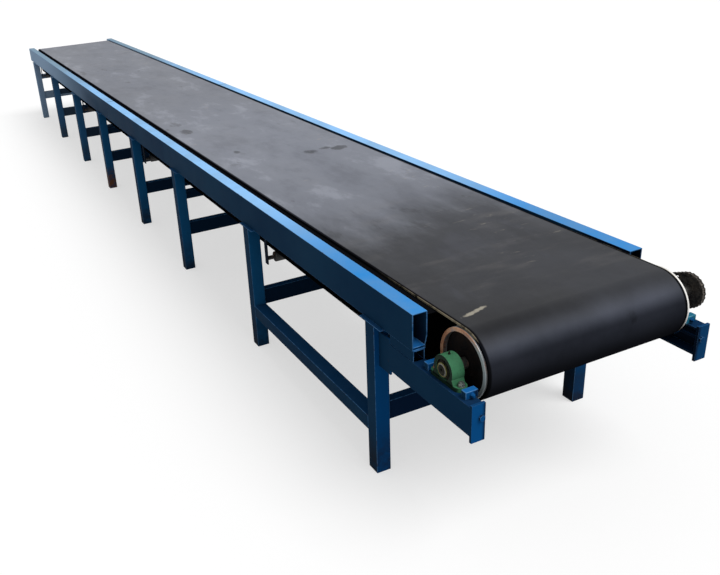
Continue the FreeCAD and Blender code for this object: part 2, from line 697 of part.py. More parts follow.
def make_chain():
    """The roller chain: two side plates' loops and four-sided pins between them."""
    middle = size("line_y") + size("chain_y")
    half_high, plate, inside = size("chain_half_high"), size("chain_plate"), size("chain_inside")
    along = V(0, 1, 0)
    plates = []
    for start in (middle - inside / 2 - plate, middle + inside / 2):
        ring = Part.Face(chain_band(half_high, start)).cut(Part.Face(chain_band(-half_high, start)))
        plates.append(ring.extrude(along * plate))
    pins = []
    for place in chain_places():
        start = V(place.x, middle - inside / 2, place.z)
        corners = [around(start, size("roller_radius"), turn) for turn in range(0, 360, 90)]
        pins.append(Part.Face(Part.makePolygon(corners + corners[:1])).extrude(along * inside))
    return shaped("drive_chain", plates[0].fuse(plates[1:] + pins))


def make_sprockets():
    """The large sprocket on the head shaft and the small one on the gearbox."""
    head = V(size("head_x"), 0, size("drum_z"))
    return [shaped("head_sprocket", sprocket_shape(head, HEAD_TEETH, size("shaft_radius"),
                                                   size("hub_radius"), size("hub_long"))),
            shaped("motor_sprocket", sprocket_shape(motor_centre(), MOTOR_TEETH,
                                                    size("gear_shaft"), size("pinion_hub_radius"),
                                                    size("pinion_hub_long")))]


def make_gear_motor():
    """Gearbox on its foot with its shaft through the small sprocket, and the motor behind."""
    motor = motor_centre()
    near, wide, long = size("line_y") + size("gear_y"), size("gear_wide"), size("gear_long")
    foot, over = size("gear_foot"), size("gear_foot_over")
    shelf_top = motor.z - size("gear_rise")
    start = motor.x - long / 2
    case = Part.makeBox(long, wide, size("gear_high"), V(start, near, shelf_top + foot))
    case = case.makeFillet(size("gear_round"), [edge for edge in case.Edges if abs(
        edge.tangentAt(edge.FirstParameter).y) > 0.9])
    feet = Part.makeBox(long + 2 * over, wide, foot, V(start - over, near, shelf_top))
    middle = size("line_y") + size("chain_y")
    shaft = Part.makeCylinder(size("gear_shaft"), near - middle + size("gear_foot"),
                              V(motor.x, middle - size("gear_foot"), motor.z), V(0, 1, 0))
    axis_z, radius = motor.z + size("motor_rise"), size("motor_radius")
    can = Part.makeCylinder(radius, size("motor_long"), V(start, near + wide / 2, axis_z),
                            V(-1, 0, 0))
    box_long, box_wide = size("terminal_long"), size("terminal_wide")
    terminal = Part.makeBox(box_long, box_wide, radius + size("terminal_high"),
                            V(start - size("terminal_back") - box_long,
                              near + (wide - box_wide) / 2, axis_z))
    return [shaped("gearbox", case.fuse([feet, shaft])), shaped("motor", can.fuse(terminal))]


def make_motor_shelf():
    """The shelf under the drive: it hangs from the rail on a back plate, with two gussets."""
    motor = motor_centre()
    past, thick, deep = size("shelf_past"), size("shelf_thick"), size("gusset_high")
    start = motor.x - size("gear_long") / 2 - size("motor_long") - past
    long = motor.x + size("gear_long") / 2 + size("gear_foot_over") + past - start
    low = motor.z - size("gear_rise") - thick
    inner = size("line_y") + size("rail_out") - size("shelf_in")
    outer = size("line_y") + size("shelf_y")
    back = Part.makeBox(long, thick, size("rail_bottom") - low, V(start, inner - thick, low))
    shelf = Part.makeBox(long, outer - inner + thick, thick, V(start, inner - thick, low))
    gussets = []
    for x in (start, start + long - thick):
        corner = [V(x, inner, low), V(x, outer - size("shelf_over"), low), V(x, inner, low - deep)]
        web = Part.Face(Part.makePolygon(corner + corner[:1])).extrude(V(thick, 0, 0))
        gussets += [web, Part.makeBox(thick, thick, deep, V(x, inner - thick, low - deep))]
    return shaped("motor_shelf", back.fuse([shelf] + gussets).removeSplitter())


nodes = [make_belt()]
nodes += make_rails()
nodes += [make_frame(frame) for frame in FRAMES]
nodes += make_stretchers()
nodes += make_bed()
nodes += [make_drum("head_drum", "head_x", "belt_y", "head_drum_half", "disc_recess"),
          make_drum("tail_drum", "tail_x", "line_y", "tail_drum_half", "0")]
nodes += make_shafts()
nodes.append(make_collars())
nodes += make_head_beams()
nodes += make_head_spacers()
nodes += [make_pillow_block(where, side) for where, side in SIDES.items()]
nodes += make_take_ups()
nodes += make_tail_supports()
nodes += make_return_rollers()
nodes += make_sprockets()
nodes.append(make_chain())
nodes += make_gear_motor()
nodes.append(make_motor_shelf())

doc.recompute()
for piece in doc.Objects:
    if "Invalid" in piece.State or "Error" in piece.State:
        raise RuntimeError(f"{piece.Label} did not compute: {piece.State}")

os.makedirs("parts", exist_ok=True)
for node in nodes:
    if node.Shape.isNull() or not node.Shape.isValid() or node.Shape.Volume <= 0:
        raise RuntimeError(f"{node.Label} has no valid solid")
    node.Shape.exportStep(f"parts/{node.Label}.step")
print(len(nodes), "nodes written")
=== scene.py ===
from functools import partialmethod
import math

import bmesh
import bpy
from mathutils import Matrix, Vector
from mathutils.geometry import tessellate_polygon


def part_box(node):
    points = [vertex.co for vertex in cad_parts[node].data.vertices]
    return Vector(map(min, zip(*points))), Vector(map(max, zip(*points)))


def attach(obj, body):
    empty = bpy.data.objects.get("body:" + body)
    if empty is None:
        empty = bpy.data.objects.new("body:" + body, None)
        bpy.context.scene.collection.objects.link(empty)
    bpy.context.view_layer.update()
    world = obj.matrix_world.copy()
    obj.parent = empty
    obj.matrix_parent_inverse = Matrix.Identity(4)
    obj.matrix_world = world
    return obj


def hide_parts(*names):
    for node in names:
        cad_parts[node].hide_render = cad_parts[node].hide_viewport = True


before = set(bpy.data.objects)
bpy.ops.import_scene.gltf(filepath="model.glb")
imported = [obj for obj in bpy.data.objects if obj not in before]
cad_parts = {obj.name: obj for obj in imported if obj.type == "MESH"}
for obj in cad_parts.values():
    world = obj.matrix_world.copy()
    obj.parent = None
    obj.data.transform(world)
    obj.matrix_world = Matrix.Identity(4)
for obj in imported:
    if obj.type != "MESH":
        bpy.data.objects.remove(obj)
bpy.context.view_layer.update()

scene = bpy.context.scene


# Side rails: folded sheet steel, open at both ends, with a bent shelf inside.
# Each side is two lengths that butt near the middle of the conveyor.
# Sprayed blue after welding, the paint rubbed on the bends and paler towards the tail, where a
# haze is painted in.
def rgb(red, green, blue):
    """A colour read off a screen, 0 to 255, as Blender keeps it."""
    return tuple((c / 255 / 12.92) if c / 255 <= 0.04045 else ((c / 255 + 0.055) / 1.055) ** 2.4
                 for c in (red, green, blue)) + (1.0,)


class Wire:
    """A node's output in sums: each sign adds a math node, and | takes the larger value."""

    def __init__(self, socket):
        self.socket, self.tree = socket, socket.id_data

    def __getitem__(self, label):
        return Wire(self.socket.node.outputs[label])

    def math(self, operation, other=0.0, clamp=False):
        return add(self.tree, "ShaderNodeMath", {0: self, 1: other}, operation=operation,
                   use_clamp=clamp)

    def __rsub__(self, other):
        return add(self.tree, "ShaderNodeMath", {0: other, 1: self}, operation="SUBTRACT")

    __add__ = partialmethod(math, "ADD")
    __sub__ = partialmethod(math, "SUBTRACT")
    __mul__ = partialmethod(math, "MULTIPLY")
    __truediv__ = partialmethod(math, "DIVIDE")
    __or__ = partialmethod(math, "MAXIMUM")
    __abs__ = partialmethod(math, "ABSOLUTE")


def feed(node, inputs):
    """Set a node's inputs, each to a plain value or to the wire that it follows."""
    for key, value in inputs.items():
        if isinstance(value, Wire):
            node.id_data.links.new(value.socket, node.inputs[key])
        else:
            node.inputs[key].default_value = value


def add(tree, kind, inputs=None, **settings):
    """A new node with its settings and inputs, as the wire from its first output."""
    node = tree.nodes.new(kind)
    for key, value in settings.items():
        setattr(node, key, value)
    feed(node, inputs or {})
    return Wire(node.outputs[0])


def ramp(value, low, high, start=0.0, end=1.0):
    """value from low to high, eased into start to end."""
    return add(value.tree, "ShaderNodeMapRange",
               {"Value": value, "From Min": low, "From Max": high, "To Min": start,
                "To Max": end}, interpolation_type="SMOOTHSTEP")


def tint(mask, first, second):
    """first where mask is 0, second where it is 1."""
    return add(mask.tree, "ShaderNodeMix", {0: mask, 6: first, 7: second}, data_type="RGBA")[2]


def noise(place, scale, detail=4.0, rough=0.55):
    return add(place.tree, "ShaderNodeTexNoise",
               {"Vector": place, "Scale": scale, "Detail": detail, "Roughness": rough})


def stretched(place, scale):
    return add(place.tree, "ShaderNodeVectorMath", {0: place, 1: scale}, operation="MULTIPLY")


def split(vector):
    axes = add(vector.tree, "ShaderNodeSeparateXYZ", {0: vector})
    return axes["X"], axes["Y"], axes["Z"]


def facing(place):
    """How far the surface faces along X, Y and Z."""
    return split(add(place.tree, "ShaderNodeNewGeometry")["Normal"])


def effect(name, inputs, outputs):
    """A shader node group: its inputs, the place on the piece and its output node."""
    tree = bpy.data.node_groups.new(name, "ShaderNodeTree")
    for label, value in inputs.items():
        tree.interface.new_socket(label, in_out="INPUT",
                                  socket_type="NodeSocketFloat").default_value = value
    for label in outputs:
        tree.interface.new_socket(label, in_out="OUTPUT", socket_type="NodeSocketFloat")
    return (add(tree, "NodeGroupInput"), add(tree, "ShaderNodeTexCoord")["Object"],
            tree.nodes.new("NodeGroupOutput"))


given, place, made = effect("dust and haze film", {"Amount": 0.5, "Towards Tail": 0.3, "Scale": 3.0},
                            ["Dust and Haze", "Top Face"])
dust_and_haze_film = place.tree
upward = ramp(facing(place)[2], 0.35, 0.95)
lying = upward * given["Amount"] * ramp(noise(place, given["Scale"], 8.0, 0.65), 0.35, 0.7)
# Towards the tail the dust output also carries a painted haze, pale light in the air laid on as
# colour.
tail = ramp(split(place)[0], -0.1, -3.7) * given["Towards Tail"]
feed(made, {"Dust and Haze": lying.math("ADD", tail, clamp=True), "Top Face": upward})

given, place, made = effect("edge wear", {"Amount": 0.5, "Scale": 30.0}, ["Worn", "Bare"])
edge_wear = place.tree
edge = add(edge_wear, "ShaderNodeAttribute", attribute_name="bend")["Fac"] * given["Amount"]
chips = noise(place, given["Scale"], 6.0, 0.7)
spots = ramp(noise(place, 9.0, 10.0, 0.75), 0.66, 0.72) * given["Amount"]
feed(made, {"Worn": edge * ramp(chips, 0.3, 0.6), "Bare": edge * ramp(chips, 0.56, 0.62) | spots})

given, place, made = effect("scuffs", {"Length Scale": 2.0, "Width Scale": 60.0, "Amount": 0.5},
                            ["Scuff"])
scuffs = place.tree
thin = add(scuffs, "ShaderNodeCombineXYZ", {0: given["Width Scale"], 1: given["Length Scale"],
                                            2: given["Length Scale"]})
streaks = ramp(noise(stretched(place, thin), 1.0, 5.0, 0.6), 0.62, 0.72)
feed(made, {"Scuff": streaks * ramp(noise(place, 1.3, 2.0), 0.5, 0.65) * given["Amount"]})


def spaced(values):
    """Keyword arguments as the labels of sockets."""
    return {key.replace("_", " "): value for key, value in values.items()}


def start_material(name, roughness, specular, metallic=0.0):
    """A material with its shader and the place on the piece, and nothing else yet."""
    material = bpy.data.materials.new(name)
    material.use_nodes = True
    shader = material.node_tree.nodes["Principled BSDF"]
    feed(shader, {"Roughness": roughness, "Specular IOR Level": specular, "Metallic": metallic})
    return material, shader, add(material.node_tree, "ShaderNodeTexCoord")["Object"]


def use(place, group, **values):
    """A shared effect placed in a material with its own values."""
    return add(place.tree, "ShaderNodeGroup", spaced(values), node_tree=group)


def coat(shader, colour, height, depth, strength, **others):
    """Lead in the colour, the height that raises the surface by depth, and other inputs."""
    bump = add(shader.id_data, "ShaderNodeBump",
               {"Height": height, "Distance": depth, "Strength": strength})
    feed(shader, {"Base Color": colour, "Normal": bump, **spaced(others)})


# Painted light is in the colour: lit pale tops with a painted sheen, lit faces towards the head,
# painted shade low down and under the belt, and a painted haze towards the tail. The paint is
# grimy near the floor and chipped on its bends.
blue_paint, shader, place = start_material("sprayed blue paint", 0.42, 0.003)
film = use(place, dust_and_haze_film, Amount=0.4, Towards_Tail=0.95)
worn = use(place, edge_wear, Amount=0.7)
x, y, z = split(place)
from_middle = abs(y + 0.12)
to_head, to_far_side, _ = facing(place)
base = tint(ramp(noise(place, 1.7, 5.0), 0.3, 0.7), rgb(25, 60, 88), rgb(18, 49, 78))
# Faces turned to the head get a lighter, lit colour, darker on the far side: painted light and
# shade.
front = tint(ramp(y, 0.0, 0.3), rgb(12, 77, 135), rgb(16, 62, 104))
front = tint(ramp(x, 3.6, 3.4), front, rgb(26, 90, 138))
base = tint(ramp(to_head, 0.5, 0.9), base, front)
# Tops are painted lighter than the sides as if lit from above, with a painted sheen away from the
# head and a painted haze near the tail.
top_sheen = ramp(x, 3.55, 2.5) * ramp(noise(place, 2.3, 4.0), 0.0, 0.4)
top = tint(top_sheen, rgb(50, 143, 220), rgb(150, 203, 254))
top = tint(ramp(x, -1.4, -3.8), top, rgb(142, 158, 172))
# Tops lower down, beneath the rails, are painted darker: painted shade.
shaded_beam_top = tint(ramp(z, 0.596, 0.612), rgb(13, 46, 80), rgb(24, 98, 164))
shaded_low_top = tint(ramp(x, 3.72, 3.76), rgb(17, 66, 110), shaded_beam_top)
top = tint(ramp(z, 0.765, 0.66), top, shaded_low_top)
base = tint(film["Top Face"], base, top)
# Under the belt and on the inner face of the far head beam the colour is painted shade.
under = ramp(z, 0.75, 0.62) * ramp(from_middle, 0.455, 0.44)
hidden = ramp(x, 3.6, 3.75) * ramp(y, 0.2, 0.3) * ramp(to_far_side, -0.5, -0.9)
painted_shade = (under | hidden) * (0.85 - film["Top Face"] * 0.85)
base = tint(painted_shade, base, rgb(13, 17, 30))
seam = ramp(abs(x + 0.31), 0.007, 0.003)
base = tint(seam, base, rgb(12, 24, 38))
splash = ramp(z, 0.24, 0.0) * ramp(noise(place, 14.0, 8.0, 0.7), 0.25, 0.6)
base = tint(splash * 0.75, base, rgb(36, 33, 32))
rusty_foot = ramp(z, 0.20, 0.06) * ramp(abs(x + 0.658), 0.08, 0.05)
rusty = ramp(noise(place, 30.0, 7.0, 0.7), 0.3, 0.6)
base = tint(rusty_foot * rusty, base, rgb(112, 74, 50))
# Dust lies pale on the tops; towards the tail the same pale colour is painted haze.
dust_and_haze = tint(film["Top Face"], rgb(168, 196, 226), rgb(132, 158, 178))
clear = ramp(z, 0.765, 0.7) * ramp(x, -1.4, -0.6) * 0.8
low_clear = ramp(z, 0.645, 0.625) * ramp(x, -4.6, -2.8) * 0.88
base = tint(film["Dust and Haze"] * (1.0 - (clear | low_clear)), base, dust_and_haze)
base = tint(worn["Worn"], base, rgb(96, 150, 204))
base = tint(worn["Bare"], base, rgb(70, 50, 40))
matt = film["Dust and Haze"] * 0.35 + noise(place, 6.0, 4.0) * 0.14
skin = noise(place, 260.0, 2.0) * 0.35 + noise(place, 5.0, 3.0) * 1.2
coat(shader, base, skin, 0.0009, 0.5, Roughness=matt.math("ADD", 0.35, clamp=True))


def joined_flats(bm):
    bmesh.ops.dissolve_limit(bm, angle_limit=math.radians(1), verts=bm.verts, edges=bm.edges)
    return bm


def bevelled(bm, width, segments=2, angle=40):
    """Round the sharp edges of a mesh as rolled and cast steel has them, and mark the bends."""
    bend = bm.faces.layers.float.get("bend") or bm.faces.layers.float.new("bend")
    sharp = [edge for edge in bm.edges
             if len(edge.link_faces) == 2 and edge.calc_face_angle(0) > math.radians(angle)]
    made = bmesh.ops.bevel(bm, geom=sharp, offset=width, segments=segments, profile=0.5,
                           affect="EDGES", clamp_overlap=True)
    for face in made["faces"]:
        face[bend] = 1.0
    return bm


def rounded_copy(node, width, segments=2):
    """A copy of a CAD solid with its edges rounded."""
    bm = bmesh.new()
    bm.from_mesh(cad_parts[node].data)
    bmesh.ops.remove_doubles(bm, verts=bm.verts, dist=2e-5)
    return bevelled(joined_flats(bm), width, segments, 30)


def finish_piece(name, shape, materials, body="root", stands_for=(), crease=38):
    """The finished object of a mesh: at the origin, riding on its body, in place of CAD nodes."""
    mesh = shape
    if isinstance(shape, bmesh.types.BMesh):
        mesh = bpy.data.meshes.new(name)
        shape.to_mesh(mesh)
        shape.free()
    mesh.name = name
    for material in materials:
        mesh.materials.append(material)
    mesh.polygons.foreach_set("use_smooth", [True] * len(mesh.polygons))
    mesh.set_sharp_from_angle(angle=math.radians(crease))
    piece = bpy.data.objects.new(name, mesh)
    scene.collection.objects.link(piece)
    piece.modifiers.new("even normals", "WEIGHTED_NORMAL").keep_sharp = True
    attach(piece, body)
    if stands_for:
        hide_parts(*stands_for)


def copied_piece(name, node, width, finish=blue_paint, segments=2):
    """A finished piece that is one CAD solid with its edges rounded."""
    finish_piece(name, rounded_copy(node, width, segments), [finish], stands_for=[node])


for side in ("near", "far"):
    for part in ("tail", "head"):
        copied_piece(f"{side}_rail_{part}_sheet", f"{side}_rail_{part}", 0.0022)


# Leg frames: square tube, two legs with cross bars between them and a plate on each leg.
# Eight of them carry the rails, and long tubes tie the last two together.
# Each joint has a weld bead run round it before the paint.
for number in range(1, 9):
    copied_piece(f"leg_frame_{number}_tubes", f"leg_frame_{number}", 0.0025)
for side in ("near", "far"):
    copied_piece(f"{side}_stretcher_tube", f"{side}_stretcher", 0.0025)


def shape_tree(name, inputs):
    """A Geometry Nodes tree with a mesh in and out, a finish and named inputs for its sizes."""
    tree = bpy.data.node_groups.new(name, "GeometryNodeTree")
    tree.interface.new_socket("Geometry", in_out="OUTPUT", socket_type="NodeSocketGeometry")
    for label, kind in {"Geometry": "Geometry", **inputs, "Finish": "Material"}.items():
        tree.interface.new_socket(label, in_out="INPUT", socket_type="NodeSocket" + kind)
    return tree, add(tree, "NodeGroupInput")


def close_tree(given, shape):
    """Make real what a tree has laid out, give it the finish and hand it to the output."""
    tree = shape.tree
    real = add(tree, "GeometryNodeRealizeInstances", {0: shape})
    coated = add(tree, "GeometryNodeSetMaterial", {"Geometry": real, "Material": given["Finish"]})
    feed(tree.nodes.new("NodeGroupOutput"), {"Geometry": coated})


def grown(name, base, tree, values):
    """Run a tree on a bare mesh and hand back the plain mesh that it makes."""
    carrier = bpy.data.objects.new(name + "_carrier", base)
    scene.collection.objects.link(carrier)
    modifier = carrier.modifiers.new("shape", "NODES")
    modifier.node_group = tree
    for item in tree.interface.items_tree:
        if item.in_out == "INPUT" and item.name in values:
            modifier[item.identifier] = values[item.name]
    graph = bpy.context.evaluated_depsgraph_get()
    mesh = bpy.data.meshes.new_from_object(carrier.evaluated_get(graph), depsgraph=graph)
    bpy.data.objects.remove(carrier)
    return mesh


bead_tree, given = shape_tree("weld bead", {"Bead Radius": "Float", "Ripple Length": "Float",
                                            "Unevenness": "Float", "Seed": "Int"})
run = add(bead_tree, "GeometryNodeMeshToCurve", {0: given["Geometry"]})
run = add(bead_tree, "GeometryNodeResampleCurve", {"Curve": run, "Length": given["Ripple Length"]},
          mode="LENGTH")
ripple = add(bead_tree, "FunctionNodeRandomValue",
             {2: 1.0, 3: 1.35, "ID": add(bead_tree, "GeometryNodeInputIndex"),
              "Seed": given["Seed"]})[1]
run = add(bead_tree, "GeometryNodeSetCurveRadius",
          {"Curve": run, "Radius": ripple * given["Unevenness"]})
ring = add(bead_tree, "GeometryNodeCurvePrimitiveCircle",
           {"Resolution": 6, "Radius": given["Bead Radius"]})
close_tree(given, add(bead_tree, "GeometryNodeCurveToMesh",
                      {"Curve": run, "Profile Curve": ring, "Fill Caps": True}))


def rectangle(low, high, axis, at):
    """Corners of a rectangle square to an axis: 0 is X, 1 is Y, 2 is Z."""
    first, second = [k for k in (0, 1, 2) if k != axis]
    corners = []
    for a, b in ((0, 0), (1, 0), (1, 1), (0, 1)):
        corner = [at, at, at]
        corner[first], corner[second] = (low, high)[a][first], (low, high)[b][second]
        corners.append(corner)
    return corners


def path_mesh(name, loops):
    """Bare edges round each list of points."""
    points, edges = [], []
    for loop in loops:
        first, count = len(points), len(loop)
        points += loop
        edges += [(first + k, first + (k + 1) % count) for k in range(count)]
    mesh = bpy.data.meshes.new(name)
    mesh.from_pydata([tuple(point) for point in points], edges, [])
    return mesh


def middle(node):
    """The middle of a CAD node's box."""
    return [(low + high) / 2 for low, high in zip(*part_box(node))]


LEG, PAD_THICK, BEAD_REACH = 0.060, 0.004, 0.0032
LEG_START = {"near": -0.6275, "far": 0.3875}
LOWER_BAR, UPPER_BAR = (0.220, 0.300), (0.450, 0.500)


def leg_face(number):
    """X of a frame's legs on the side of the head."""
    return middle(f"leg_frame_{number}")[0] + LEG / 2


joints = []
for number in range(1, 9):
    face, pad = leg_face(number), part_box(f"leg_frame_{number}")[1][2] - PAD_THICK
    for side, start in LEG_START.items():
        inset, wall = (BEAD_REACH, start + LEG) if side == "near" else (0.0, start)
        joints.append(rectangle((face - LEG, start + inset, 0), (face, start + LEG, 0), 2, pad))
        for low, high in (LOWER_BAR, UPPER_BAR) if number <= 6 else (LOWER_BAR,):
            joints.append(rectangle((face - 0.050, 0, low), (face - 0.010, 0, high), 1, wall))
for side in LEG_START:
    low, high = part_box(f"{side}_stretcher")
    low[1] += BEAD_REACH if side == "near" else 0.0
    joints += [rectangle(low, high, 0, at) for at in (low[0], high[0])]
beads = grown("frame_welds", path_mesh("weld runs", joints), bead_tree,
              {"Bead Radius": 0.0026, "Ripple Length": 0.006, "Unevenness": 0.85, "Seed": 4,
               "Finish": blue_paint})
finish_piece("frame_welds", beads, [], crease=180)


# Slider bed: thin bright sheet that the belt slides over, on square tubes between the rails.
# The belt polishes it; beside the belt it is dark with grime and painted shade, and its head end
# is painted shade.
BELT_OFF = 0.109
bed_steel, shader, place = start_material("slid-on bed sheet", 0.45, 0.3, 0.6)
x, y, _ = split(place)
fine = noise(stretched(place, (3.0, 160.0, 160.0)), 1.0, 4.0)
bright = tint(ramp(fine, 0.3, 0.7), rgb(74, 76, 80), rgb(112, 114, 118))
# Dark beside the belt with grime and painted shade, and painted shade at the head end.
grime_and_shade = ramp(abs(y + BELT_OFF), 0.392, 0.402) | ramp(x, 3.6, 3.8)
clean = 1.0 - grime_and_shade
coat(shader, tint(grime_and_shade, bright, rgb(14, 15, 18)), fine, 0.0004, 0.4, Metallic=clean * 0.6,
     Roughness=fine * 0.25 + (grime_and_shade * 0.4 + 0.3), Specular_IOR_Level=clean * 0.3)
copied_piece("slider_bed_sheet", "slider_bed", 0.0006, bed_steel, 1)
copied_piece("bed_bar_tubes", "bed_bars", 0.002, bed_steel)


# Belt: one endless loop of smooth black rubber over plies of canvas, joined hot.
# It is dusty and chalky along its top run, with a painted sheen in the paleness away from the
# head, scuffed where goods slide off, and frayed pale at its edges, which are also dark with grime
# and painted shade.
belt_rubber, shader, place = start_material("smooth black belt rubber", 0.5, 0.14)
x, y, z = split(place)
from_middle = abs(y + BELT_OFF)
film = use(place, dust_and_haze_film, Amount=0.1, Towards_Tail=0.0, Scale=1.1)
cloudy = noise(stretched(place, (0.7, 2.2, 2.2)), 1.6, 6.0, 0.6)
flat_top = ramp(z, 0.72, 0.764)
base = tint(ramp(cloudy, 0.3, 0.72), tint(flat_top, rgb(48, 52, 62), rgb(18, 19, 23)),
            tint(flat_top, rgb(64, 68, 80), rgb(28, 30, 36)))
# The top run pales away from the head: chalk dust and a painted sheen.
chalk_and_sheen = add(place.tree, "ShaderNodeValToRGB", {0: ramp(x + (cloudy - 0.5) * 1.2, 4.0, -0.4)})
stops = chalk_and_sheen.socket.node.color_ramp.elements
for spot, level in ((0.0, 0.0), (0.06, 0.06), (0.11, 0.3), (0.16, 0.52), (0.24, 0.6),
                    (0.5, 0.68), (0.78, 0.66), (1.0, 0.53)):
    stop = stops[0] if spot == 0.0 else stops[-1] if spot == 1.0 else stops.new(spot)
    stop.color = (level, level, level, 1.0)
chalk_and_sheen_top = chalk_and_sheen * film["Top Face"]
base = tint(chalk_and_sheen_top, base, rgb(142, 147, 160))
base = tint(film["Dust and Haze"], base, rgb(134, 138, 148))
before_wrap = film["Top Face"] * ramp(x, 4.06, 3.86)
lane = ramp(noise(stretched(place, (9.0, 2.6, 4.0)), 1.0, 6.0, 0.6), 0.5, 0.78) * before_wrap
base = tint(lane * ramp(x, 2.4, 3.6, 0.06, 0.2), base, rgb(126, 122, 120))
blotch = noise(stretched(place, (1.0, 2.1, 2.1)), 2.3, 9.0, 0.66)
base = tint(ramp(blotch, 0.5, 0.68) * before_wrap * 0.3, base, rgb(66, 69, 80))
base = tint(ramp(blotch, 0.48, 0.34) * (before_wrap * chalk_and_sheen_top) * 0.55, base, rgb(166, 170, 182))
smudge = ramp(noise(stretched(place, (1.6, 3.4, 3.4)), 1.7, 5.0, 0.62), 0.62, 0.7)
base = tint(smudge * 0.4, base, rgb(30, 31, 36))


def oval(along, across, ragged, outside, inside):
    """A ragged oval: along and across are 1 at its rim."""
    return ramp(along * along + across * across + ragged, outside, inside)


ragged = noise(stretched(place, (6.0, 14.0, 1.0)), 1.0, 7.0, 0.7) * 2.4
spilt = 0.0
for spot_x, spot_y, long, wide in (
        (1.03, -0.41, 0.10, 0.06), (1.69, -0.33, 0.05, 0.03), (1.95, 0.0, 0.06, 0.06),
        (1.93, 0.10, 0.04, 0.05), (1.97, 0.17, 0.05, 0.08)):
    spilt = oval((x - spot_x) / long, (y - spot_y) / wide, ragged, 1.9, 1.4) | spilt
base = tint(spilt * 0.72, base, rgb(40, 42, 48))
scuff = use(place, scuffs, Length_Scale=11.0, Width_Scale=46.0, Amount=0.6)["Scuff"]
base = tint(scuff * before_wrap, base, rgb(168, 160, 146))
off_scrape = y + 0.43
scrape = oval(off_scrape / 0.066, (x - 3.985 - off_scrape * -0.25) / 0.011,
              noise(place, 34.0, 6.0, 0.7) * 2.6, 2.3, 1.5)
base = tint(scrape * 0.7, base, rgb(178, 172, 156))
# The edges are dark with grime and with painted shade, the shade of the gap beside the rails.
grimy_shaded_edge = ramp(from_middle, 0.398, 0.404)
base = tint(grimy_shaded_edge * 0.9, base, rgb(9, 10, 13))
frayed = ramp(from_middle, 0.4075, 0.41) * (ramp(z, 0.742, 0.756) * ramp(x, 3.5, 3.9))
frayed = frayed * ramp(noise(place, 22.0, 6.0, 0.7), 0.34, 0.55)
base = tint(frayed * 0.6, base, rgb(176, 164, 138))
shaded = ramp(z, 0.728, 0.68, 0.0, 0.6) + ramp(z, 0.68, 0.58, 0.0, 0.25)
base = tint(shaded, base, rgb(9, 9, 10))
dull = shaded.math("MULTIPLY", 1.6, clamp=True) | grimy_shaded_edge
gloss = cloudy * 0.22 + film["Dust and Haze"] * 0.4
skin = noise(place, 420.0, 2.0) * 0.2 + noise(stretched(place, (2.2, 1.0, 1.0)), 2.6, 2.0) * 4.0
coat(shader, base, skin, 0.0012, 0.6, Roughness=gloss.math("ADD", 0.36, clamp=True),
     Specular_IOR_Level=(1.0 - dull) * 0.14)

belt_tree, given = shape_tree("belt loop", {"Width": "Float", "Thickness": "Float",
                                            "Edge Radius": "Float"})
loop = add(belt_tree, "GeometryNodeMeshToCurve", {0: given["Geometry"]})
strip = add(belt_tree, "GeometryNodeCurvePrimitiveQuadrilateral",
            {"Width": given["Width"], "Height": given["Thickness"]}, mode="RECTANGLE")
strip = add(belt_tree, "GeometryNodeFilletCurve",
            {"Curve": strip, "Radius": given["Edge Radius"], "Count": 3}, mode="POLY")
close_tree(given, add(belt_tree, "GeometryNodeCurveToMesh",
                      {"Curve": loop, "Profile Curve": strip}))

BELT_THICK, TURN_STEPS, RUN_STEPS = 0.008, 48, 40
low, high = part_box("belt")
_, belt_y, shaft_z = middle("belt")
head_x, tail_x = middle("head_shaft")[0], middle("tail_shaft")[0]
radius = (high[2] - low[2]) / 2 - BELT_THICK / 2
loop = []
for start_x, end_x, first in ((head_x, tail_x, 90), (tail_x, head_x, -90)):
    for step in range(TURN_STEPS + 1):
        turn = math.radians(first - step * 180 / TURN_STEPS)
        loop.append((start_x + radius * math.cos(turn), belt_y, shaft_z + radius * math.sin(turn)))
    level = shaft_z - math.copysign(radius, first)
    loop += [(start_x + (end_x - start_x) * k / RUN_STEPS, belt_y, level)
             for k in range(1, RUN_STEPS)]
bm = bmesh.new()
bm.from_mesh(grown("belt", path_mesh("belt path", [loop]), belt_tree,
                   {"Width": high[1] - low[1], "Thickness": BELT_THICK, "Edge Radius": 0.002,
                    "Finish": belt_rubber}))
bmesh.ops.remove_doubles(bm, verts=bm.verts, dist=1e-6)


def outward(bm):
    bmesh.ops.recalc_face_normals(bm, faces=bm.faces)
    return bm


finish_piece("belt_loop", outward(bm), [belt_rubber], stands_for=["belt"])


# Drums: rolled steel shells with thick turned end discs welded in, bare metal throughout.
# Each is keyed to its own shaft, and the head drum's far rim stands up a little.
# Rust has started on the rims and inside the ends, where nothing rubs, and the end discs are
# painted near-black: painted shade in their recesses.
def bare_metal(name, dark, light, rust_amount, roughness=0.38, metallic=0.85):
    """Turned steel, with fine turning marks about the shaft and rust in patches."""
    material, shader, place = start_material(name, roughness, 0.5, metallic)
    turned = noise(stretched(place, (14.0, 900.0, 14.0)), 1.0, 3.0)
    clean = tint(ramp(turned, 0.3, 0.7), dark, light)
    least = 0.62 - rust_amount * 0.3
    rust = ramp(noise(place, 11.0, 9.0, 0.68), least, least + 0.16)
    grain = noise(place, 120.0, 5.0, 0.7)
    brown = tint(ramp(grain, 0.35, 0.65), rgb(96, 56, 34), rgb(156, 96, 58))
    coat(shader, tint(rust, clean, brown), turned * 0.3 + rust * grain * 1.5, 0.0006, 0.5,
         Metallic=(1.0 - rust) * metallic,
         Roughness=(rust * 0.4).math("ADD", roughness, clamp=True))
    return material


def mottled(name, roughness, specular, scale, detail, dark, light, depth, strength=0.5):
    """Dark and light patches of one grain, which raises the surface too."""
    material, shader, place = start_material(name, roughness, specular)
    patch = noise(place, scale, detail, 0.7)
    coat(shader, tint(ramp(patch, 0.35, 0.7), dark, light), patch, depth, strength)
    return material


